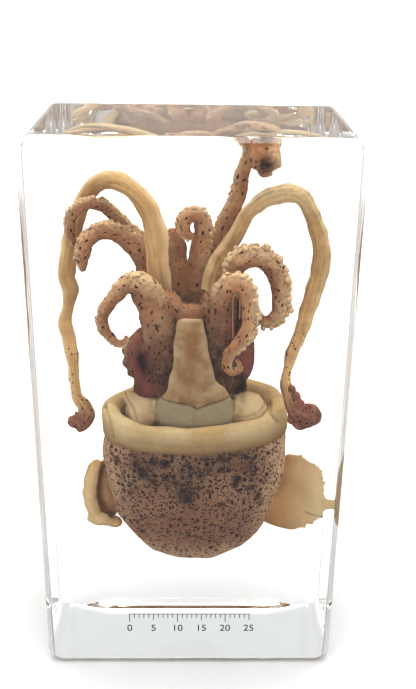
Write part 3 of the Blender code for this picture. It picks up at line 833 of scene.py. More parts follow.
head = {
    "centre": (0.2, 1.2, 67.0),
    "half": (9.8, 6.9, 12.3),
    "voxel": 0.34,
    "columns": [
        [(-8.6, -6.6, 82.4, 2.0), (-7.6, -6.2, 80.6, 2.7), (-6.7, -5.7, 78.0, 3.3), (-6.3, -5.3, 75.0, 3.6),
         (-5.9, -5.1, 72.0, 3.6), (-5.2, -5.2, 68.5, 3.1), (-4.7, -5.2, 64.5, 2.6), (-4.8, -5.0, 60.0, 2.2)],
        [(6.5, -7.0, 82.4, 2.0), (5.8, -6.3, 80.4, 2.6), (5.5, -5.7, 78.0, 3.2), (5.6, -5.2, 75.0, 3.5),
         (5.8, -5.0, 72.0, 3.5), (5.8, -5.1, 68.5, 3.2), (5.6, -5.2, 64.5, 2.9), (5.6, -5.0, 60.0, 2.7)],
    ],
    "eyes": [
        ((-9.0, -1.8, 67.8), (3.7, 4.6, 6.0)), ((-8.6, -1.6, 61.5), (2.7, 4.2, 4.2)),
        ((9.2, -1.6, 68.2), (3.2, 4.2, 6.2)), ((8.9, -1.2, 61.5), (2.2, 3.8, 4.4)),
    ],
    "bulges": [((-12.5, -1.8, 68.9), 0.95), ((-12.3, -2.0, 66.5), 1.15), ((-11.7, -1.8, 64.4), 0.9),
               ((-11.4, -1.6, 71.2), 0.8)],
    "armRoot": ((8.4, -3.0, 77.0), (3.0, 3.7, 7.2)),
    "mouth": [  # its floor, the skin in front of it and its small lobes
        ((-0.3, -3.4, 75.8), (3.6, 3.0, 2.9)), ((-0.3, -5.7, 77.4), (3.6, 2.1, 2.4)),
        ((-4.2, -5.7, 79.0), (2.3, 2.0, 3.5)), ((3.6, -5.7, 79.0), (2.2, 2.0, 3.5)),
        ((-1.5, -3.4, 79.2), (1.2, 1.1, 1.0)), ((0.2, -3.9, 79.4), (1.1, 1.0, 0.9)),
        ((1.3, -3.0, 79.4), (1.0, 1.1, 1.1)), ((-0.6, -1.8, 80.2), (1.5, 1.3, 1.2)),
        ((1.9, -0.8, 80.4), (1.3, 1.2, 1.2)), ((-2.4, -1.0, 80.0), (1.2, 1.3, 1.2)),
    ],
    "creases": [
        ([(-10.2, 76.0), (-9.9, 74.0), (-9.1, 71.2), (-7.6, 68.4), (-6.6, 66.0), (-6.3, 62.0)], 0.45, 0.5),
        ([(8.3, 67.0), (8.8, 64.5), (9.5, 62.6), (10.0, 60.6)], 0.55, 0.9),
        ([(8.2, 81.5), (8.4, 78.0), (8.3, 74.5)], 0.6, 0.5),
    ],
    "filament": [
        (8.9, -8.6, 77.4), (8.9, -8.9, 79.4), (8.8, -9.1, 81.3), (8.2, -9.3, 82.5), (7.7, -9.2, 82.0),
        (7.6, -8.9, 79.4), (7.7, -8.5, 76.4), (7.8, -8.3, 73.4),
    ],
    "filamentRadius": 0.13,
    # painted shade on the head's front, darker downward
    "dimShade": (83.0, 15.0, 0.025, 0.4),  # from this height, over this height, more to the right, and behind
    "spotted": (8.2, -2.0, 0.35),  # half width and depth of the spotted front, spots elsewhere
    "patches": {
        # partly the skin's own dark stains, partly painted shade in the gap between the head's right side and
        # the collar
        "stain": [
            ((-9.6, -6.0, 68.4), (1.3, 3.0, 2.3), 1.0), ((-9.0, -5.5, 66.0), (1.0, 3.0, 1.8), 0.5),
            ((-9.6, -5.0, 61.0), (0.8, 3.0, 2.0), 0.4), ((9.9, -4.5, 63.0), (1.3, 2.8, 2.8), 1.0),
            ((9.9, -4.5, 60.6), (1.3, 3.0, 1.8), 1.0), ((8.5, -6.6, 77.5), (0.9, 3.5, 5.0), 0.9),
            ((10.5, -5.0, 78.0), (1.2, 3.0, 4.0), 0.6), ((7.2, -8.8, 82.8), (2.0, 2.5, 0.7), 0.7),
            ((5.4, -8.4, 63.5), (1.3, 2.5, 4.5), 0.3),
        ],
        "purple": [
            ((-10.2, -5.0, 67.0), (2.0, 4.0, 7.0), 1.0), ((-7.8, -6.5, 62.0), (1.8, 3.5, 3.2), 0.8),
            ((10.8, -4.5, 67.0), (1.6, 4.0, 7.5), 1.0), ((7.6, -6.5, 77.0), (1.6, 3.0, 5.0), 0.8),
            ((8.4, -6.0, 69.0), (1.5, 3.0, 5.0), 0.6), ((-9.8, -5.0, 76.5), (1.0, 3.0, 3.0), 0.4),
        ],
        # painted shade deep in the crown, between the arms' roots and behind the mouth
        "crownShade": [
            ((-0.3, -1.0, 80.6), (4.9, 5.0, 3.6), 1.0), ((-3.6, -3.6, 82.6), (1.8, 2.6, 1.8), 0.7),
            ((3.1, -3.6, 82.6), (1.8, 2.6, 1.8), 0.7),
        ],
        "olive": [((-0.3, -3.6, 79.6), (3.0, 1.9, 2.0), 1.0)],
        "pale": [
            ((-12.9, -1.8, 67.4), (0.9, 2.5, 3.6), 0.9), ((-8.7, -7.6, 72.5), (0.7, 2.5, 3.6), 0.55),
            ((12.2, -1.5, 67.5), (0.6, 2.5, 4.5), 0.7), ((-6.0, -8.8, 76.0), (1.6, 2.0, 3.0), 0.35),
            ((-0.3, -7.4, 79.3), (3.0, 1.6, 0.7), 0.15), ((8.0, -6.8, 59.5), (0.5, 2.0, 4.0), 0.8),
        ],
    },
}


def dimAt(co):
    # Painted shade: the front darkens from the arms' roots down to the collar, more on the right
    top, span, lean, behind = head["dimShade"]
    return clamp((top - co.z) / span + lean * co.x) if co.y < 1.0 else behind


def makeHead():
    bm = bmesh.new()
    addBall(bm, head["centre"], head["half"], 36, 24)
    for route in head["columns"]:
        growRoute(bm, route, step=0.8, flat=1.05, sides=20)
    addBalls(bm, head["eyes"])
    addBalls(bm, [(place, (size, size, size * 1.15)) for place, size in head["bulges"]], 16, 10)
    addBall(bm, *head["armRoot"])
    addBalls(bm, head["mouth"], 16, 10)
    bm = fuse(bm, head["voxel"], rounds=3)
    pressGrooves(bm, head["creases"], lambda co, normal: normal.y < 0.2)
    roughen(bm, (2.2, 0.24, 5), (0.9, 0.12, 6))
    paintCavities(bm, strength=3.0)
    paintPatches(bm, head["patches"])
    # painted shade, darker from the arms' roots down to the collar
    paint(bm, "dimShade", dimAt)
    side, depth, elsewhere = head["spotted"]
    paint(bm, "speckle", lambda co: 1.0 if abs(co.x) < side and co.y < depth else elsewhere)
    pale = bm.verts.layers.float["pale"]
    filament = [(*point, head["filamentRadius"]) for point in head["filament"]]
    for ring in growRoute(bm, filament, step=0.3, flat=1.0, sides=8):
        for vert in ring:
            vert[pale] = 0.2
    bmesh.ops.recalc_face_normals(bm, faces=bm.faces)
    # the dim colour below is painted shade for the front, darker downward
    skin = makeFlesh("spotted_head", patches={
        # the crown colour here is painted shade deep between the arms' roots
        "dimShade": (86, 57, 45), "purple": (158, 92, 84), "olive": (90, 64, 28), "crownShade": (70, 38, 16),
        # the stain colour is also painted shade in the gap by the collar
        "stain": (40, 12, 14)})
    return finishPiece(bm, "head_skin", skin, ["head"])


makeHead()


# Funnel with its collar

funnelRoute = [
    (-0.25, -8.7, 77.3, 2.0), (-0.25, -8.8, 76.8, 2.35), (-0.25, -8.9, 75.3, 2.75), (-0.15, -8.9, 73.5, 3.1),
    (-0.1, -8.9, 71.0, 3.35), (0.1, -8.9, 69.0, 3.65), (0.2, -8.8, 67.0, 4.0), (0.2, -8.6, 64.6, 4.6),
    (0.4, -8.4, 63.0, 5.3), (0.6, -8.2, 61.6, 6.4), (0.7, -8.0, 60.2, 7.2), (0.75, -7.8, 58.0, 7.6),
    (0.8, -7.5, 56.0, 7.6), (0.8, -7.1, 54.2, 7.2), (0.8, -6.8, 52.8, 6.4),
]
collar = {
    "voxel": 0.26,
    "leftFlap": [(-13.4, 60.1), (-12.3, 60.9), (-10.4, 60.3), (-8.2, 59.9), (-6.0, 59.7), (-5.6, 55.0),
                 (-8.5, 53.6), (-11.0, 54.0), (-11.7, 55.5), (-12.5, 57.8)],
    "rightFlap": [(7.8, 61.2), (9.6, 60.3), (11.0, 60.9), (13.4, 60.2), (15.1, 57.6), (14.5, 55.8),
                  (11.5, 54.4), (7.6, 54.2)],
    "fold": [(-6.6, 61.0), (-2.9, 60.3), (0.1, 59.8), (1.2, 59.1), (3.3, 59.9), (6.1, 60.8), (8.2, 61.8)],
    "leftCrease": [(-6.5, 61.2), (-6.8, 58.0), (-6.7, 55.0)],
    "rightCrease": [(8.2, 62.0), (8.4, 58.5), (8.2, 55.5)],
    "flapCrease": [(-12.8, 60.3), (-11.6, 58.8), (-10.9, 57.0), (-10.4, 55.0)],
    "rightFlapCrease": [(9.0, 56.6), (10.8, 56.7), (12.8, 57.3), (14.4, 58.3)],
    "middleCrease": [(1.0, 59.0), (0.4, 57.2), (0.6, 55.0)],
    "band": (-7.2, 8.8, 1.2),  # the glossy band's left and right ends and how softly it stops
    "bandTop": 60.1,
    "sideLight": (60.5, -5.0, 0.45),  # painted light: above this height and before this depth the sides are paler where they face sideways
    # Width and depth of the creases, then width and strength of the painted shade along those that get it too
    "pressed": {"fold": (0.28, 0.3), "leftCrease": (0.4, 0.2), "rightCrease": (0.4, 0.2),
                "flapCrease": (0.4, 0.35), "rightFlapCrease": (0.35, 0.25), "middleCrease": (0.5, 0.12)},
    "paintedShade": {"fold": (0.2, 0.5), "leftCrease": (0.3, 0.12), "rightCrease": (0.3, 0.12),
                "flapCrease": (0.3, 0.25)},
    "patches": {
        "ochre": [
            ((-0.4, -11.0, 72.0), (1.5, 2.5, 5.5), 0.8), ((0.2, -11.0, 65.5), (2.4, 2.5, 3.0), 0.5),
            ((-4.0, -10.0, 61.5), (2.0, 2.5, 1.2), 0.5),
        ],
        "pale": [
            ((-10.2, -6.0, 58.2), (3.2, 4.0, 3.4), 0.8), ((11.6, -6.0, 58.4), (3.4, 4.0, 3.4), 0.8),
            ((-0.2, -9.5, 77.6), (3.0, 2.5, 0.6), 0.5), ((0.4, -10.4, 57.4), (3.0, 2.0, 1.5), 0.2),
        ],
    },
}


def makeFunnel():
    bm = bmesh.new()
    stations = smoothRoute(funnelRoute, 0.5)
    flats = [0.5 if height > 66 else max(0.33, 0.5 - 0.17 * (66 - height) / 6)
             for x, y, height, radius in stations]
    growTube(bm, [limbFrame(stations, index, flat) for index, flat in enumerate(flats)], 36)
    half = (1.7, 1.5, 3.0)
    addBalls(bm, [((-6.7, -6.3, 57.0), half), ((8.5, -6.2, 57.2), half)])
    addPad(bm, collar["leftFlap"], middle=(-9.0, 57.4), y=-5.0, half=3.2, lean=0.35)
    addPad(bm, collar["rightFlap"], middle=(11.0, 57.6), y=-4.6, half=3.4, lean=0.35)
    addBalls(bm, [((-8.2, -0.6, 55.6), (4.9, 6.4, 3.4)), ((9.8, -0.6, 55.8), (5.1, 6.6, 3.5))])
    bm = fuse(bm, collar["voxel"], rounds=3)
    creases = [(collar[line], *size) for line, size in collar["pressed"].items()]
    pressGrooves(bm, creases, lambda co, normal: normal.y < 0.1)
    roughen(bm, (3.0, 0.25, 8), (1.1, 0.07, 9))
    paintCavities(bm, strength=2.0)

    def bandAt(co):
        left, right, fade = collar["band"]
        inside = min(clamp((co.x - left) / fade), clamp((right - co.x) / fade))
        fold = collar["bandTop"] - 1.0 * math.exp(-((co.x - 1.2) / 1.4) ** 2) + 0.024 * (co.x - 1.0) ** 2
        return inside * clamp((fold - co.z) / 0.4) if co.y < -4 else 0.0

    # painted shade along some of the collar's creases
    def creaseAt(co):
        if co.y > -2:
            return 0.0
        lines = collar["paintedShade"].items()
        return min(1.0, sum(amount * grooveDepth(co, collar[line], width) for line, (width, amount) in lines))

    paint(bm, "band", bandAt)
    paint(bm, "creaseShade", creaseAt)
    paintPatches(bm, collar["patches"])
    # painted light on the parts that face sideways
    pale = bm.verts.layers.float["pale"]
    height, depth, amount = collar["sideLight"]
    for vert in bm.verts:
        if vert.co.z > height and vert.co.y < depth:
            vert[pale] = max(vert[pale], amount * abs(vert.normal.x) ** 1.5)
    # the crease colour is painted shade in the creases
    flesh = makeFlesh("funnel_flesh", body=(192, 163, 124), deep=(156, 122, 84), pale=(232, 212, 170),
                      patches={"ochre": (158, 114, 72), "band": (172, 160, 132), "creaseShade": (104, 76, 54)},
                      roughness=0.34, bump=0.2, cloudScale=300.0)
    return finishPiece(bm, "funnel_and_collar", flesh, ["funnel"])


makeFunnel()


# Arms and tentacles: routes from root to tip as x, y, z and radius

routes = {
    "arm_front_left": [
        (-6.2, -5.2, 75.2, 3.0), (-6.7, -5.7, 78.0, 3.15), (-7.8, -6.4, 81.0, 3.05), (-9.9, -7.0, 83.6, 2.7),
        (-12.5, -7.5, 83.5, 1.8), (-14.4, -8.0, 81.3, 1.4), (-16.1, -8.0, 79.1, 1.25),
        (-16.7, -8.0, 76.7, 1.15), (-16.2, -8.0, 74.7, 1.05), (-14.9, -8.0, 73.1, 0.9),
        (-13.7, -8.0, 72.2, 0.8), (-12.5, -8.0, 72.5, 0.65), (-12.3, -8.0, 73.3, 0.4),
    ],
    "arm_left": [
        (-8.0, 2.3, 79.5, 2.1), (-8.1, 1.9, 84.6, 2.4), (-8.7, 1.6, 87.2, 2.55), (-9.9, 1.2, 89.0, 2.4),
        (-11.4, 0.8, 90.4, 2.15), (-13.0, 0.4, 91.7, 1.9), (-14.8, 0.0, 92.5, 1.8), (-16.7, -0.4, 92.7, 1.7),
        (-18.3, -0.8, 92.0, 1.6), (-19.6, -1.0, 90.9, 1.5), (-20.2, -1.0, 89.2, 1.5),
        (-20.6, -1.0, 87.6, 1.45), (-20.5, -1.0, 86.2, 0.95), (-20.4, -1.0, 85.4, 0.6),
    ],
    "arm_back_left": [
        (-5.4, 6.2, 78.5, 1.4), (-7.6, 6.8, 84.0, 1.4), (-9.7, 6.2, 89.0, 1.45), (-11.6, 5.6, 91.2, 1.4),
        (-13.6, 5.0, 93.3, 1.35), (-15.0, 4.4, 95.1, 1.25), (-16.4, 3.8, 96.5, 1.2), (-18.0, 2.6, 97.2, 1.15),
        (-19.6, 1.6, 97.3, 1.15), (-21.2, 0.9, 96.5, 1.1), (-22.4, 0.7, 95.1, 1.05), (-22.6, 0.9, 93.1, 1.0),
        (-22.6, 1.4, 91.3, 0.85), (-22.3, 1.8, 89.9, 0.55),
    ],
    "arm_mid_left": [
        (-2.2, 3.6, 77.0, 2.0), (-2.6, 4.8, 82.5, 2.05), (-2.8, 5.0, 85.5, 2.0), (-2.9, 4.9, 87.9, 1.95),
        (-3.2, 4.5, 89.6, 1.9), (-3.6, 4.3, 90.6, 1.6), (-3.8, 4.2, 91.2, 1.2),
    ],
    "arm_middle": [
        (0.9, 3.4, 77.0, 2.0), (1.1, 4.3, 83.0, 2.1), (1.2, 4.2, 85.6, 2.05), (1.5, 3.8, 88.1, 2.0),
        (1.9, 3.2, 90.6, 1.85), (2.1, 2.7, 92.8, 1.75), (1.5, 2.2, 94.8, 1.7), (0.1, 1.8, 95.5, 1.6),
        (-1.2, 1.4, 94.9, 1.5), (-1.7, 1.1, 93.4, 1.4), (-1.3, 0.9, 92.1, 1.25), (-0.4, 0.8, 91.4, 0.9),
    ],
    "arm_tall": [
        (3.6, 5.0, 77.5, 1.7), (4.4, 6.2, 83.0, 1.65), (4.7, 6.2, 87.3, 1.65), (5.2, 6.0, 90.3, 1.65),
        (6.0, 5.6, 92.8, 1.65), (7.2, 5.0, 95.4, 1.65), (8.3, 4.5, 98.0, 1.6), (8.8, 4.0, 100.3, 1.5),
        (9.0, 3.5, 102.6, 1.35), (9.7, 3.0, 104.7, 1.25), (10.4, 2.4, 106.7, 1.25), (11.0, 1.2, 108.0, 1.35),
        (11.9, -0.8, 108.6, 1.8), (12.6, -2.4, 108.0, 2.4), (12.85, -3.2, 106.8, 2.8),
        (12.9, -3.3, 105.6, 2.85), (12.9, -3.3, 104.9, 2.2), (12.9, -3.3, 104.6, 1.4),
    ],
    "arm_right": [
        (6.8, -0.6, 78.0, 1.8), (7.5, -1.9, 83.6, 1.9), (8.0, -2.5, 86.5, 2.1), (9.5, -2.8, 88.1, 2.25),
        (11.5, -2.6, 88.4, 2.2), (13.6, -2.3, 87.8, 2.1), (15.3, -2.0, 86.0, 2.0), (16.4, -1.8, 83.6, 1.85),
        (16.9, -1.8, 81.2, 1.8), (17.0, -1.9, 78.8, 1.75), (16.5, -2.0, 76.6, 1.6), (15.0, -2.0, 75.2, 1.4),
        (13.5, -2.0, 75.6, 1.1), (12.7, -2.0, 77.0, 0.5),
    ],
    "arm_front_right": [
        (5.6, -5.2, 75.2, 2.9), (5.5, -5.7, 78.0, 3.0), (5.8, -6.4, 80.6, 2.7), (6.9, -7.2, 83.3, 2.4),
        (8.6, -7.8, 84.2, 2.1), (10.2, -8.5, 82.8, 1.7), (10.7, -9.2, 79.9, 1.5), (10.8, -9.6, 76.8, 1.5),
        (9.8, -10.2, 74.0, 1.45), (8.2, -10.6, 72.2, 1.3), (6.9, -10.8, 70.5, 1.1), (6.8, -10.8, 68.6, 1.0),
        (7.9, -10.8, 67.3, 0.95), (9.1, -10.8, 68.2, 0.75), (8.7, -10.8, 69.4, 0.45),
    ],
    "tentacle_left": [
        (-4.7, -1.0, 77.0, 1.6), (-5.7, -1.5, 82.2, 2.0), (-6.3, -2.4, 86.4, 2.2), (-6.4, -3.0, 89.9, 2.15),
        (-6.8, -3.0, 93.7, 2.0), (-8.3, -2.5, 97.8, 1.85), (-10.6, -1.5, 100.3, 1.75),
        (-12.9, -0.2, 101.6, 1.8), (-15.2, 1.6, 101.8, 1.8), (-17.5, 3.6, 100.7, 1.65),
        (-20.1, 5.0, 97.6, 1.5), (-21.8, 5.4, 93.2, 1.6), (-23.1, 5.2, 88.7, 1.6), (-23.8, 4.6, 84.6, 1.7),
        (-24.1, 4.0, 82.3, 1.45), (-23.3, 3.5, 80.0, 1.55), (-23.9, 2.5, 76.4, 1.2), (-24.5, 1.5, 73.7, 1.3),
        (-23.6, 0.0, 70.6, 1.3), (-23.0, -2.0, 66.5, 1.15), (-22.7, -3.5, 62.7, 1.0),
        (-22.2, -4.5, 59.8, 1.2), (-20.9, -5.0, 58.1, 1.4), (-20.5, -5.0, 56.4, 1.7),
        (-21.3, -5.1, 55.0, 2.1), (-22.4, -5.2, 54.5, 2.1), (-22.9, -5.2, 54.5, 1.5),
    ],
    "tentacle_right": [
        (2.9, 0.2, 77.0, 1.5), (3.6, 1.2, 81.7, 1.7), (4.7, 1.8, 86.0, 1.65), (6.4, 1.8, 88.6, 1.6),
        (7.8, 1.5, 90.9, 1.5), (9.9, 0.5, 95.5, 1.4), (11.7, 0.0, 97.5, 1.55), (13.4, 0.0, 98.8, 1.6),
        (15.8, 0.0, 99.7, 1.8), (18.1, 0.0, 99.9, 1.7), (20.2, 0.0, 99.0, 1.5), (22.1, 0.5, 96.0, 1.5),
        (23.6, 1.0, 92.1, 1.7), (24.4, 1.0, 88.4, 1.8), (24.3, 1.0, 85.0, 1.85), (23.3, 0.5, 80.9, 1.7),
        (22.2, -0.5, 76.7, 1.6), (20.8, -2.0, 72.1, 1.35), (19.3, -3.5, 68.6, 1.1), (18.5, -5.0, 65.6, 0.85),
        (18.3, -6.2, 63.6, 1.0), (19.0, -7.0, 61.2, 1.35), (20.0, -7.4, 59.0, 1.75), (21.3, -7.5, 57.3, 2.2),
        (22.7, -7.4, 56.6, 2.6), (23.7, -7.3, 56.6, 2.1),
    ],
}
armShape = {
    "sides": 22,
    "ringStep": 0.35,
    "spread": 34.0,
    "proud": (0.3, 1.1),
    "first": 0.2,
    "last": {"arm_front_right": 0.76},  # its coiled tip is smooth
    "flat": 0.92,
    "crest": (0.05, 0.55),  # paleness all round, and more on the suckers' side
    "innerFrom": 83.0,
    "webTop": 86.0,
    "webFade": 6.0,
    "headDepth": -7.0,  # the front arms take the painted shade up to where they leave the head
    "sizes": (0.5, 0.4, 1.15),  # suckers grow with the arm's radius, up to a limit
    "creamPale": (0.3, 0.5),
    "webCentre": (-0.9, 4.4, 81.8),
    "webHalf": (3.6, 1.6, 4.3),
    "star": (12.8, 105.9),
    "starReach": 1.9,
}
# Side of the suckers on the way from root to tip (-1 left, 1 right), their radius, their spacing and how far
# they stand out
arms = {
    "arm_front_left": (1, 0.36, 0.70, 0.7),
    "arm_left": (1, 0.38, 0.66, 0.8),
    "arm_back_left": (1, 0.46, 0.66, 0.9),
    "arm_mid_left": (-1, 0.44, 0.66, 1.0),
    "arm_middle": (1, 0.38, 0.62, 0.9),
    "arm_tall": (-1, 0.36, 0.62, 0.8),
    "arm_right": (-1, 0.50, 0.72, 1.5),
    "arm_front_right": (-1, 0.52, 0.70, 1.4),
}
webArms = ("arm_mid_left", "arm_middle", "arm_tall")


def addSucker(bm, place, outward, radius, proud):
    # A low dome with a sunken mouth
    turn = outward.to_track_quat("Z", "Y").to_matrix().to_4x4()
    put = Matrix.Translation(place + outward * radius * (proud - 0.85)) @ turn
    dome = bmesh.ops.create_cone(bm, cap_ends=True, cap_tris=False, segments=8, radius1=radius,
                                 radius2=radius * 0.94, depth=radius * 1.2, matrix=put)["verts"]
    faces = {face for vert in dome for face in vert.link_faces}
    lid = max(faces, key=lambda face: face.calc_center_median().dot(outward))
    members = set(dome)
    for inset, lift in ((0.28, 0.22), (0.30, 0.14), (0.2, -0.08)):
        ring = bmesh.ops.inset_region(bm, faces=[lid], thickness=radius * inset)["faces"]
        bmesh.ops.translate(bm, vec=outward * radius * lift, verts=lid.verts)
        members.update(vert for face in ring for vert in face.verts)
    return members


def growLimb(bm, stations, flat, sides):
    # A tube whose points know how far along the limb and how far round it they are
    places = [limbFrame(stations, index, flat) for index in range(len(stations))]
    way = bm.verts.layers.float_vector.new("way")
    rings = growTube(bm, places, sides)
    travelled = 0.0
    for index, (ring, place) in enumerate(zip(rings, places)):
        if index:
            travelled += (place.translation - places[index - 1].translation).length
        back = place.inverted()
        for vert in ring:
            local = back @ vert.co
            vert[way] = Vector((local.x * stations[index][3], local.y * stations[index][3], travelled)) * mm
    return places, rings


def starAt(co):
    # Dark rays on the end of the tall arm
    offset = Vector((co.x, co.z)) - Vector(armShape["star"])
    rays = 0.55 + 0.45 * math.cos(11.0 * math.atan2(offset.y, offset.x))
    reach = offset.length / armShape["starReach"]
    return min(1.0, math.exp(-(reach * 1.8) ** 4) + rays * math.exp(-reach ** 4)) if co.y < -3.0 else 0.0


# Painted highlights: paler patches where the arms' bends catch the light
armHighlights = patches([
    ((-9.6, -7.5, 84.2), (3.8, 4.0, 3.0), 0.35), ((16.0, -2.0, 78.0), (3.0, 3.0, 5.0), 0.55),
    ((12.0, -2.6, 88.5), (4.0, 3.0, 2.0), 0.35), ((10.5, -9.0, 78.0), (2.0, 2.0, 5.0), 0.25),
])


def makeArm(name, seed):
    picker = random.Random(seed)
    side, suckerSize, every, stickOut = arms[name]
    stations = roundTip(smoothRoute(routes[name], armShape["ringStep"]))
    bm = bmesh.new()
    labels = ("pale", "speckle", "inner", "dimShade", "web", "star", "cream", "cavityShade")
    pale, speckle, inner, dimShade, web, star, cream, _ = [bm.verts.layers.float.new(label) for label in labels]
    places, rings = growLimb(bm, stations, armShape["flat"], armShape["sides"])
    for ring, place in zip(rings, places):
        back = place.inverted()
        height = place.translation.z
        # painted highlight at this part of the arm
        crest = armHighlights(place.translation)
        for vert in ring:
            across = (back @ vert.co).x * side
            vert[pale] = clamp(armShape["crest"][0] + armShape["crest"][1] * across + crest)
            vert[inner] = clamp(-0.2 - 0.8 * across) if height > armShape["innerFrom"] else 0.0
            vert[web] = clamp((armShape["webTop"] - height) / armShape["webFade"]) if name in webArms else 0.0
            vert[speckle] = 1.0
            vert[star] = starAt(vert.co) if name == "arm_tall" else 0.0
            # painted shade on the front arms near the head, matching the head's
            fromHead = name.startswith("arm_front") and place.translation.y > armShape["headDepth"]
            vert[dimShade] = dimAt(vert.co) if fromHead else 0.0
    roughen(bm, (1.4, 0.26, seed), (0.6, 0.12, seed + 50))
    paintCavities(bm, strength=1.6)
    least, growth, most = armShape["sizes"]
    travelled = 0.0
    total = sum((Vector(a[:3]) - Vector(b[:3])).length for a, b in zip(stations, stations[1:]))
    nextAt = total * armShape["first"]
    for index in range(1, len(stations) - 3):
        here = Vector(stations[index][:3])
        travelled += (here - Vector(stations[index - 1][:3])).length
        if travelled < nextAt or travelled > total * armShape["last"].get(name, 1.0):
            continue
        size = suckerSize * min(most, least + growth * stations[index][3])
        nextAt = travelled + every * picker.uniform(0.6, 1.2) * size / suckerSize
        for row in (-1, 1):
            angle = math.radians(armShape["spread"] * picker.uniform(0.6, 1.3)) * row
            local = Vector((math.cos(angle) * side, math.sin(angle), 0.0))
            outward = (places[index].to_3x3() @ local).normalized()
            tone = min(1.0, picker.uniform(0.25, 0.65) * stickOut)
            proud = picker.uniform(*armShape["proud"]) * stickOut
            for vert in addSucker(bm, places[index] @ local, outward, size * picker.uniform(0.6, 1.2), proud):
                vert[pale] = armShape["creamPale"][0] + armShape["creamPale"][1] * tone
                vert[cream] = tone
                vert[speckle] = 0.15
    if name == "arm_middle":
        # The brown web between the roots of the middle arms
        for vert in addBall(bm, armShape["webCentre"], armShape["webHalf"]):
            vert[web] = 1.0
    bmesh.ops.recalc_face_normals(bm, faces=bm.faces)
    return finishPiece(bm, name + "_skin", armFlesh, [name])


armFlesh = makeFlesh("spotted_arm", streaks=0.3, streakTone=(172, 122, 86), followLimb=True, patches={
    # one of these colours is painted shade on the front arms near the head
    "inner": (186, 134, 96), "dimShade": (98, 66, 52), "web": (178, 122, 78), "star": (58, 26, 24),
    "cream": (240, 212, 172)})
for order, armName in enumerate(arms):
    makeArm(armName, order + 11)


tentacleShape = {
    "sides": 28,
    "ringStep": 0.4,
    "flat": 0.72,
    "ridge": 0.22,
    "crest": {1: -0.2, -1: 0.7},  # painted highlight: how much paler the top of each is, by its outer side
    "highlightFrom": 95.0,
    "highlightSpan": 5.0,
    "clubFade": 5.0,
    "clubSpots": 9.0,  # spots reach this far above the club
}
# Lobes of the right club
clubLobes = [
    ((23.1, -7.4, 57.8), (1.9, 1.4, 1.8)), ((21.5, -7.4, 55.4), (1.8, 1.4, 1.7)),
    ((19.9, -7.4, 56.2), (1.0, 0.9, 1.3)), ((20.9, -7.3, 59.2), (1.3, 1.1, 1.2)),
    ((20.1, -7.2, 60.7), (1.15, 1.0, 1.3)), ((19.3, -7.0, 62.4), (0.9, 0.8, 1.3)),
]
tentacleFlesh = makeFlesh("smooth_tentacle", body=(220, 184, 132), deep=(204, 166, 112), pale=(240, 216, 172),
                          patches={"stain": (150, 100, 82)}, streaks=0.8, streakTone=(190, 148, 100),
                          dotScale=2000.0, bigShare=0.1, bump=0.25, cloudScale=160.0, followLimb=True)


def makeTentacle(name, seed, outer, clubTop, lobes):
    stations = roundTip(smoothRoute(routes[name], tentacleShape["ringStep"]))
    bm = bmesh.new()
    labels = ("pale", "stain", "speckle", "cavityShade")
    pale, stain, speckle, _ = [bm.verts.layers.float.new(label) for label in labels]
    places, rings = growLimb(bm, stations, tentacleShape["flat"], tentacleShape["sides"])
    for ring, place in zip(rings, places):
        back = place.inverted()
        height = place.translation.z
        # painted highlight on the top of the arch
        crest = clamp((height - tentacleShape["highlightFrom"]) / tentacleShape["highlightSpan"])
        crest *= tentacleShape["crest"][outer]
        for vert in ring:
            local = back @ vert.co
            vert[pale] = clamp(0.1 + 0.9 * max(0.0, local.x * outer) ** 2 + crest)
            vert[stain] = clamp((clubTop - height) / tentacleShape["clubFade"])
            vert[speckle] = 0.8 if height < clubTop + tentacleShape["clubSpots"] else 0.0
    way = bm.verts.layers.float_vector["way"]
    # Lengthwise ridges
    for vert, normal in withNormals(bm):
        across = vert[way] / mm
        spot = Vector((across.x * 1.6, across.y * 1.6, across.z / 9.0 + seed))
        vert.co += normal * tentacleShape["ridge"] * noise.noise(spot)
    for centre, half in lobes:
        for vert in addBall(bm, centre, half, 20, 12):
            vert[stain] = 1.0
            vert[speckle] = 0.8
            vert[way] = vert.co * mm
    roughen(bm, (2.6, 0.3, seed), (0.9, 0.06, seed + 50))
    paintCavities(bm, strength=2.0)
    bmesh.ops.recalc_face_normals(bm, faces=bm.faces)
    return finishPiece(bm, name + "_skin", tentacleFlesh, [name])


makeTentacle("tentacle_left", seed=31, outer=1, clubTop=60.0, lobes=[])
makeTentacle("tentacle_right", seed=37, outer=-1, clubTop=64.0, lobes=clubLobes)


# Fins

# the groove colour is painted shade in the fins' grooves
finFlesh = makeFlesh("fin_flesh", body=(208, 164, 110), deep=(192, 144, 92), pale=(240, 216, 172),
                     patches={"grooveShade": (138, 86, 54)}, dotShare=0.0, bigShare=0.0, bump=0.25,
                     cloudScale=140.0)
finRight = {
    "centre": (20.0, 3.0, 35.5),
    "half": 0.6,
    "edgeSteps": 24,
    "ragged": 1.3,  # the outer edge is ragged up to this angle
    "outline": [
        (10.0, 31.0), (15.3, 28.2), (17.1, 27.4), (19.5, 26.5), (21.5, 26.0), (24.5, 26.3), (27.3, 28.2),
        (28.7, 29.8), (29.0, 31.0), (29.0, 33.6), (28.4, 34.8), (28.6, 36.8), (28.1, 39.2), (27.5, 40.8),
        (25.9, 42.3), (23.3, 44.1), (20.4, 44.5), (18.4, 43.4), (10.0, 42.0),
    ],
    "strand": [(25.5, 3.1, 32.3, 2.6), (27.6, 3.1, 32.3, 2.1), (28.8, 3.1, 32.3, 1.5), (29.4, 3.1, 32.3, 1.2),
               (29.9, 3.1, 32.3, 1.15)],  # bridges to the wall of the pocket
    "creaseShade": [(23.0, 29.0), (23.4, 30.0), (25.2, 30.4), (26.9, 29.7), (28.4, 29.5)],
}


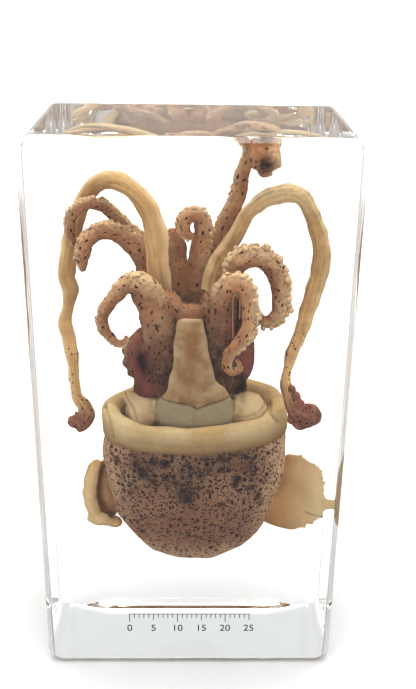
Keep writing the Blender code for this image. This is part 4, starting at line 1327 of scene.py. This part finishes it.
def makeFinRight():
    centre = finRight["centre"]
    middle = (centre[0], centre[2])
    bm = bmesh.new()
    count = finRight["edgeSteps"]
    angles = [math.pi * step / count for step in range(count + 1)]
    turnProfile(bm, [(math.sin(angle), math.cos(angle), 0.0) for angle in angles], (0, 1, 0), 0.0005)
    for vert in bm.verts:
        reach = math.hypot(vert.co.x, vert.co.z)
        angle = math.atan2(vert.co.z, vert.co.x)
        edge = outlineReach(finRight["outline"], middle, angle)
        ragged = 0.0
        if abs(angle) < finRight["ragged"]:
            ragged = 0.5 * noise.noise(Vector((angle * 9.0, 0.5, 0.0)))
            ragged -= 0.8 * abs(noise.noise(Vector((angle * 22.0, 3.5, 0.0))))
        reach = reach * (edge + ragged)
        ripple = 0.5 * noise.noise(Vector((vert.co.x * 2.2, 0.0, vert.co.z * 2.2)))
        depth = centre[1] + finRight["half"] * vert.co.y + ripple
        vert.co = Vector((middle[0] + reach * math.cos(angle), depth, middle[1] + reach * math.sin(angle)))
    growRoute(bm, finRight["strand"], step=0.2, flat=0.22, sides=16)
    bmesh.ops.recalc_face_normals(bm, faces=bm.faces)
    paint(bm, "pale", lambda co: clamp((co.x - 19.0) / 8.0))
    # painted shade along the right fin's crease
    paint(bm, "grooveShade", lambda co: 0.7 * grooveDepth(co, finRight["creaseShade"], 0.13) if co.y < 3.2 else 0.0)
    return finishPiece(bm, "fin_right_flesh", finFlesh, ["fin_right"])


# A rolled ear with a curled lobe below
finLeft = {
    "voxel": 0.26,
    "roll": [
        (-18.5, -0.5, 44.0, 0.8), (-19.4, -1.2, 42.8, 1.25), (-20.3, -1.6, 40.2, 1.5),
        (-20.7, -1.7, 37.3, 1.55), (-20.4, -1.7, 34.4, 1.55), (-19.7, -1.6, 32.2, 1.5),
        (-19.2, -1.6, 31.2, 1.4),
    ],
    "lobes": [
        ((-17.3, 1.0, 36.6), (3.0, 1.8, 7.3)), ((-19.1, -2.0, 30.9), (2.5, 1.7, 1.85)),
        ((-17.4, -1.6, 30.2), (1.7, 1.5, 1.3)), ((-15.8, -1.0, 29.6), (1.5, 1.4, 1.35)),
    ],
    "grooveShade": [(-17.9, 43.0), (-18.6, 40.5), (-18.9, 37.5), (-18.6, 34.6), (-17.8, 32.6), (-16.6, 31.4)],
}


def makeFinLeft():
    bm = bmesh.new()
    growRoute(bm, finLeft["roll"], step=0.6, flat=1.3, sides=20)
    addBalls(bm, finLeft["lobes"])
    bm = fuse(bm, finLeft["voxel"], rounds=3)
    roughen(bm, (2.4, 0.3, 41), (0.9, 0.1, 42))
    paintCavities(bm, strength=2.0)
    paint(bm, "pale", lambda co: clamp((-co.y - 0.6) / 4.2))
    # painted shade in the groove between the roll and the lobe
    paint(bm, "grooveShade", lambda co: grooveDepth(co, finLeft["grooveShade"], 0.75) if co.y > -2.6 else 0.0)
    return finishPiece(bm, "fin_left_flesh", finFlesh, ["fin_left"])


makeFinRight()
makeFinLeft()


# A plain scale printed on the front of the block, in millimetres

scaleMarks = {
    "left": -12.5,
    "length": 25,
    "base": 12.9,
    "heights": (1.0, 1.5, 2.0),
    "line": 0.14,
    "thick": 0.02,
    "gap": 0.01,
    "digits": 2.3,
    "digitsAt": 8.5,
    "ink": (22, 22, 24),
    "wornInk": (60, 60, 64),
}


def makeInk():
    material, tree, shader, place = newMaterial("black_print")
    worn = times(tree, groupNode(tree, cloudGroup, place, Scale=900.0), 0.3)
    ink = blend(tree, worn, scaleMarks["ink"], scaleMarks["wornInk"])
    tree.links.new(ink, shader.inputs["Base Color"])
    setInputs(shader, {"Roughness": 0.5})
    return material


def makeScale():
    look = scaleMarks
    front = cadBox[0].y / mm - look["gap"] - look["thick"] / 2
    bm = bmesh.new()

    def addBar(x, z, width, height):
        bar = Matrix.Translation((x, front, z)) @ Matrix.Diagonal((width, look["thick"], height, 1.0))
        bmesh.ops.create_cube(bm, size=1.0, matrix=bar)

    middle = look["left"] + look["length"] / 2
    addBar(middle, look["base"], look["length"] + look["line"], look["line"])
    for tick in range(look["length"] + 1):
        height = look["heights"][0 if tick % 5 else 1 if tick % 10 else 2]
        addBar(look["left"] + tick, look["base"] - height / 2, look["line"], height)
    for value in range(0, look["length"] + 1, 5):
        text = bpy.data.curves.new("digits", "FONT")
        text.body = str(value)
        text.size = look["digits"]
        text.align_x = "CENTER"
        text.extrude = look["thick"] / 2
        holder = addObject("digits", text)
        bpy.context.view_layer.update()
        digits = bpy.data.meshes.new_from_object(holder)
        put = Matrix.Translation((look["left"] + value, front, look["digitsAt"]))
        digits.transform(put @ Matrix.Rotation(math.radians(90), 4, "X"))
        bm.from_mesh(digits)
        bpy.data.objects.remove(holder, do_unlink=True)
        bpy.data.meshes.remove(digits)
    bmesh.ops.triangulate(bm, faces=[face for face in bm.faces if len(face.verts) > 4])
    bmesh.ops.recalc_face_normals(bm, faces=bm.faces)
    scale = finishPiece(bm, "printed_scale", makeInk(), [])
    scale.data.shade_flat()
    return scale


makeScale()


# Floor and light

studio = {
    "floorSize": 16.0,
    "floor": 0.48,
    "low": (0.7, 0.69, 0.67),
    "behind": (0.9, 0.88, 0.84),
    "middle": (0.82, 0.84, 0.83),
    "front": (0.45, 0.43, 0.41),
    "high": (8.0, 8.0, 8.0),
    "horizon": (1.0, 1.0, 1.0),
    "gamma": 0.8,
    "bounces": 20,
}


def addFloor():
    bm = bmesh.new()
    bmesh.ops.create_grid(bm, x_segments=1, y_segments=1, size=studio["floorSize"] / 2)
    mesh = bpy.data.meshes.new("floor")
    bm.to_mesh(mesh)
    bm.free()
    material, tree, shader, place = newMaterial("pale_floor")
    uneven = groupNode(tree, cloudGroup, place, Scale=30.0)
    level = addNode(tree, "ShaderNodeMapRange", {"To Min": studio["floor"], "To Max": studio["floor"] * 0.97})
    tree.links.new(uneven, level.inputs["Value"])
    tree.links.new(level.outputs[0], shader.inputs["Base Color"])
    setInputs(shader, {"Roughness": 0.9, "Specular IOR Level": 0.0})
    mesh.materials.append(material)
    floor = addObject("floor", mesh)
    floor.location.z = -0.0002


def addWorld():
    # A light tent: bright overhead, paler round the sides and dim towards the camera
    world = bpy.data.worlds.new("studio")
    bpy.context.scene.world = world
    world.use_nodes = True
    tree = world.node_tree
    back = tree.nodes["Background"]
    way = addNode(tree, "ShaderNodeTexCoord").outputs["Generated"]
    parts = addNode(tree, "ShaderNodeSeparateXYZ")
    tree.links.new(way, parts.inputs[0])
    tone = None
    for axis, first, last, level in (
        ("Y", 0.3, 0.45, "middle"), ("Y", 0.8, 0.93, "behind"), ("Y", 0.1, -0.5, "front"),
        ("Z", 0.45, 0.56, "middle"), ("Z", 0.72, 0.95, "high"), ("Z", 0.14, 0.08, "horizon"),
    ):
        step = addNode(tree, "ShaderNodeMapRange", {"From Min": first, "From Max": last},
                       interpolation_type="SMOOTHSTEP")
        tree.links.new(parts.outputs[axis], step.inputs["Value"])
        mix = addNode(tree, "ShaderNodeMix", {6: (*studio["low"], 1.0), 7: (*studio[level], 1.0)},
                      data_type="RGBA")
        tree.links.new(step.outputs[0], mix.inputs[0])
        if tone:
            tree.links.new(tone, mix.inputs[6])
        tone = mix.outputs[2]
    tree.links.new(tone, back.inputs["Color"])


addFloor()
addWorld()
scene = bpy.context.scene
scene.view_settings.view_transform = "Standard"
scene.view_settings.gamma = studio["gamma"]
scene.cycles.max_bounces = studio["bounces"]
scene.cycles.transmission_bounces = studio["bounces"]
scene.cycles.glossy_bounces = studio["bounces"]
print("Floor and light set")
